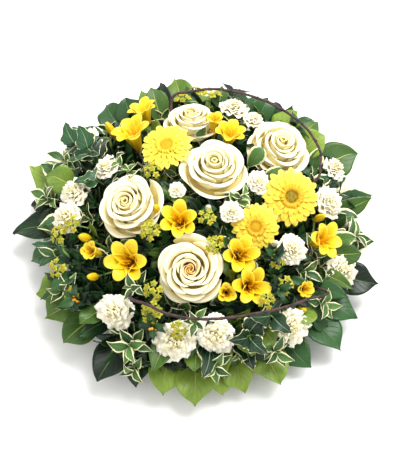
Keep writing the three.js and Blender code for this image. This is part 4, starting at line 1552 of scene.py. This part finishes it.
FILLERS = (
    Filler("ivy_front", LeafKind.IVY, Place(290, 146, 2), 26, 3),
    Filler("ivy_front_right", LeafKind.IVY, Place(301, 138, 2), 24, 3),
    Filler("ivy_shoulder", LeafKind.IVY, Place(149, 128, 2), 30, 4),
    Filler("ivy_left", LeafKind.IVY, Place(166, 107), 22, 3),
    Filler("ivy_back_left", LeafKind.IVY, Place(144, 156, 4), 24, 4),
    Filler("sprig_left_high", LeafKind.VARIEGATED, Place(154, 150, 2), 20, 7),
    Filler("sprig_left", LeafKind.VARIEGATED, Place(170, 156, 2), 20, 8),
    Filler("sprig_left_low", LeafKind.VARIEGATED, Place(211, 154), 18, 7),
    Filler("sprig_front_left", LeafKind.VARIEGATED, Place(245, 154, 2), 22, 8),
    Filler("sprig_front_left_rim", LeafKind.VARIEGATED, Place(248, 165, 2), 20, 8),
    Filler("sprig_front", LeafKind.VARIEGATED, Place(276, 158), 20, 7),
    Filler("sprig_front_right", LeafKind.VARIEGATED, Place(298, 160, 2), 20, 7),
    Filler("sprig_low_right", LeafKind.VARIEGATED, Place(323, 156), 18, 7),
    Filler("sprig_right", LeafKind.VARIEGATED, Place(354, 158, 4), 20, 8),
    Filler("sprig_top", LeafKind.VARIEGATED, Place(354, 46, -2), 13, 5),
    Filler("sprig_upper_left", LeafKind.VARIEGATED, Place(154, 88, -2), 15, 6),
    Filler("sprig_lower_left", LeafKind.VARIEGATED, Place(237, 114, -2), 16, 6),
    Filler("sprig_under_rose", LeafKind.VARIEGATED, Place(269, 127, -4), 16, 5),
    Filler("sprig_dark_right", LeafKind.DARK, Place(318, 98, 1), 14, 9),
    Filler("sprig_dark_low", LeafKind.DARK, Place(309, 122, 1), 16, 9),
    Filler("sprig_dark_left", LeafKind.DARK, Place(219, 149, 4), 18, 10, berries=4),
    Filler("sprig_dark_front", LeafKind.DARK, Place(252, 137, 3), 16, 8, berries=3),
    Filler("sprig_dark_back", LeafKind.DARK, Place(76, 152, 2), 20, 7),
    Filler("sprig_dark_back_right", LeafKind.DARK, Place(46, 140, 4), 20, 6),
    Filler("tuft_inner", LeafKind.DARK, Place(284, 34, -3), 9, 0, tuft=10),
    Filler("tuft_over_front", LeafKind.DARK, Place(284, 62, -2), 9, 0, tuft=10),
    Filler("tuft_mid_left", LeafKind.DARK, Place(225, 64, -3), 9, 0, tuft=11),
    Filler("tuft_left", LeafKind.DARK, Place(190, 124, -2), 10, 0, tuft=11),
    Filler("tuft_low_left", LeafKind.DARK, Place(249, 122, -1), 10, 0, berries=3, tuft=11),
    Filler("tuft_under_left", LeafKind.DARK, Place(262, 134, 2), 10, 0, berries=2, tuft=10),
    Filler("tuft_right", LeafKind.DARK, Place(301, 124, 1), 10, 0, berries=2, tuft=10),
    Filler("tuft_back", LeafKind.DARK, Place(91, 160, 6), 12, 0, tuft=13),
)

TWIGS = (
    Twig("twig_back", (
        Place(103, 122, 0), Place(93, 130, 11), Place(80, 135, 15), Place(62, 140, 15), Place(44, 142, 15),
        Place(28, 136, 14), Place(18, 126, 11), Place(10, 113, 0))),
    Twig("twig_front", (
        Place(238, 119, 0), Place(248, 124, 11), Place(259, 128, 14), Place(272, 130, 15),
        Place(288, 132, 15), Place(304, 138, 14), Place(316, 144, 11), Place(326, 149, 0))),
)


@dataclass
class Studio:
    """The camera, the pale floor and the soft light.

    Attributes:
        target: What the camera looks at.
        elevation: Degrees that it looks down by.
        distance: Its distance from the target.
        lens: Its focal length in millimetres.
        sky: The strength of the light from all round.
        lamps: Each lamp's name, place, side in metres and power in watts.
    """

    target: Vector
    elevation: float = 60.0
    distance: float = 1.4
    lens: float = 107.9
    sky: float = 0.95
    lamps: tuple[tuple[str, tuple[float, float, float], float, float], ...] = (
        ("key_lamp", (0.45, 0.45, 1.4), 0.9, 33), ("fill_lamp", (-0.8, -0.7, 1.2), 1.4, 5))

    def camera(self) -> None:
        """Makes the camera at the photo's angle."""
        tilt = math.radians(self.elevation)
        camera = bpy.data.objects.new("camera", bpy.data.cameras.new("camera"))
        camera.location = self.target + Vector((0, -math.cos(tilt), math.sin(tilt))) * self.distance
        camera.rotation_euler = (self.target - camera.location).to_track_quat("-Z", "Y").to_euler()
        camera.data.lens = self.lens
        bpy.context.collection.objects.link(camera)
        bpy.context.scene.camera = camera

    def light(self, name: str, place: tuple[float, float, float], size: float, power: float) -> None:
        """Makes a soft lamp that shines at the target.

        Args:
            name: Its name.
            place: Where it hangs.
            size: The side of its square.
            power: Its power in watts.
        """
        lamp = bpy.data.lights.new(name, "AREA")
        lamp.size, lamp.energy = size, power
        made = bpy.data.objects.new(name, lamp)
        made.location = place
        made.rotation_euler = (self.target - made.location).to_track_quat("-Z", "Y").to_euler()
        bpy.context.collection.objects.link(made)

    def build(self) -> None:
        """Makes everything round the posy."""
        self.camera()
        world = bpy.data.worlds.new("studio")
        world.use_nodes = True
        background = world.node_tree.nodes["Background"]
        background.inputs["Color"].default_value = (1.0, 0.99, 0.97, 1)
        background.inputs["Strength"].default_value = self.sky
        bpy.context.scene.world = world
        for lamp in self.lamps:
            self.light(*lamp)
        mesh = bpy.data.meshes.new("floor")
        plane = bmesh.new()
        bmesh.ops.create_grid(plane, x_segments=1, y_segments=1, size=4)
        plane.to_mesh(mesh)
        plane.free()
        mesh.materials.append(PALETTE(FLOOR_WHITE))
        floor = bpy.data.objects.new("floor", mesh)
        bpy.context.collection.objects.link(floor)
        bpy.context.scene.view_settings.view_transform = "Standard"


def all_heads() -> tuple[tuple[Vector, float], ...]:
    """Gives the middle and radius of every head of the posy."""
    large = [(flower.at, flower.size) for flower in FLOWERS]
    small = [(at, size) for spray in SPRAYS for _, at, size, _ in spray.heads]
    return tuple((at.point(), size * MM) for at, size in large + small)


def main() -> None:
    """Builds the studio and the posy, and reports each piece."""
    logging.basicConfig(level=logging.INFO, format="%(message)s", stream=sys.stdout)
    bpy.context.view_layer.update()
    Studio(target=Vector((2, -6, 40)) * MM).build()
    for node, finish in (("foam", FOAM_GREEN), ("dish", DISH_GREEN)):
        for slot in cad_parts[node].material_slots:
            slot.material = PALETTE(finish)
    for part in (*FLOWERS, *SPRAYS, *LEAFY, *TWIGS, *FILLERS):
        part.build()
    Undergrowth(all_heads()).build()


if __name__ == "__main__":
    main()
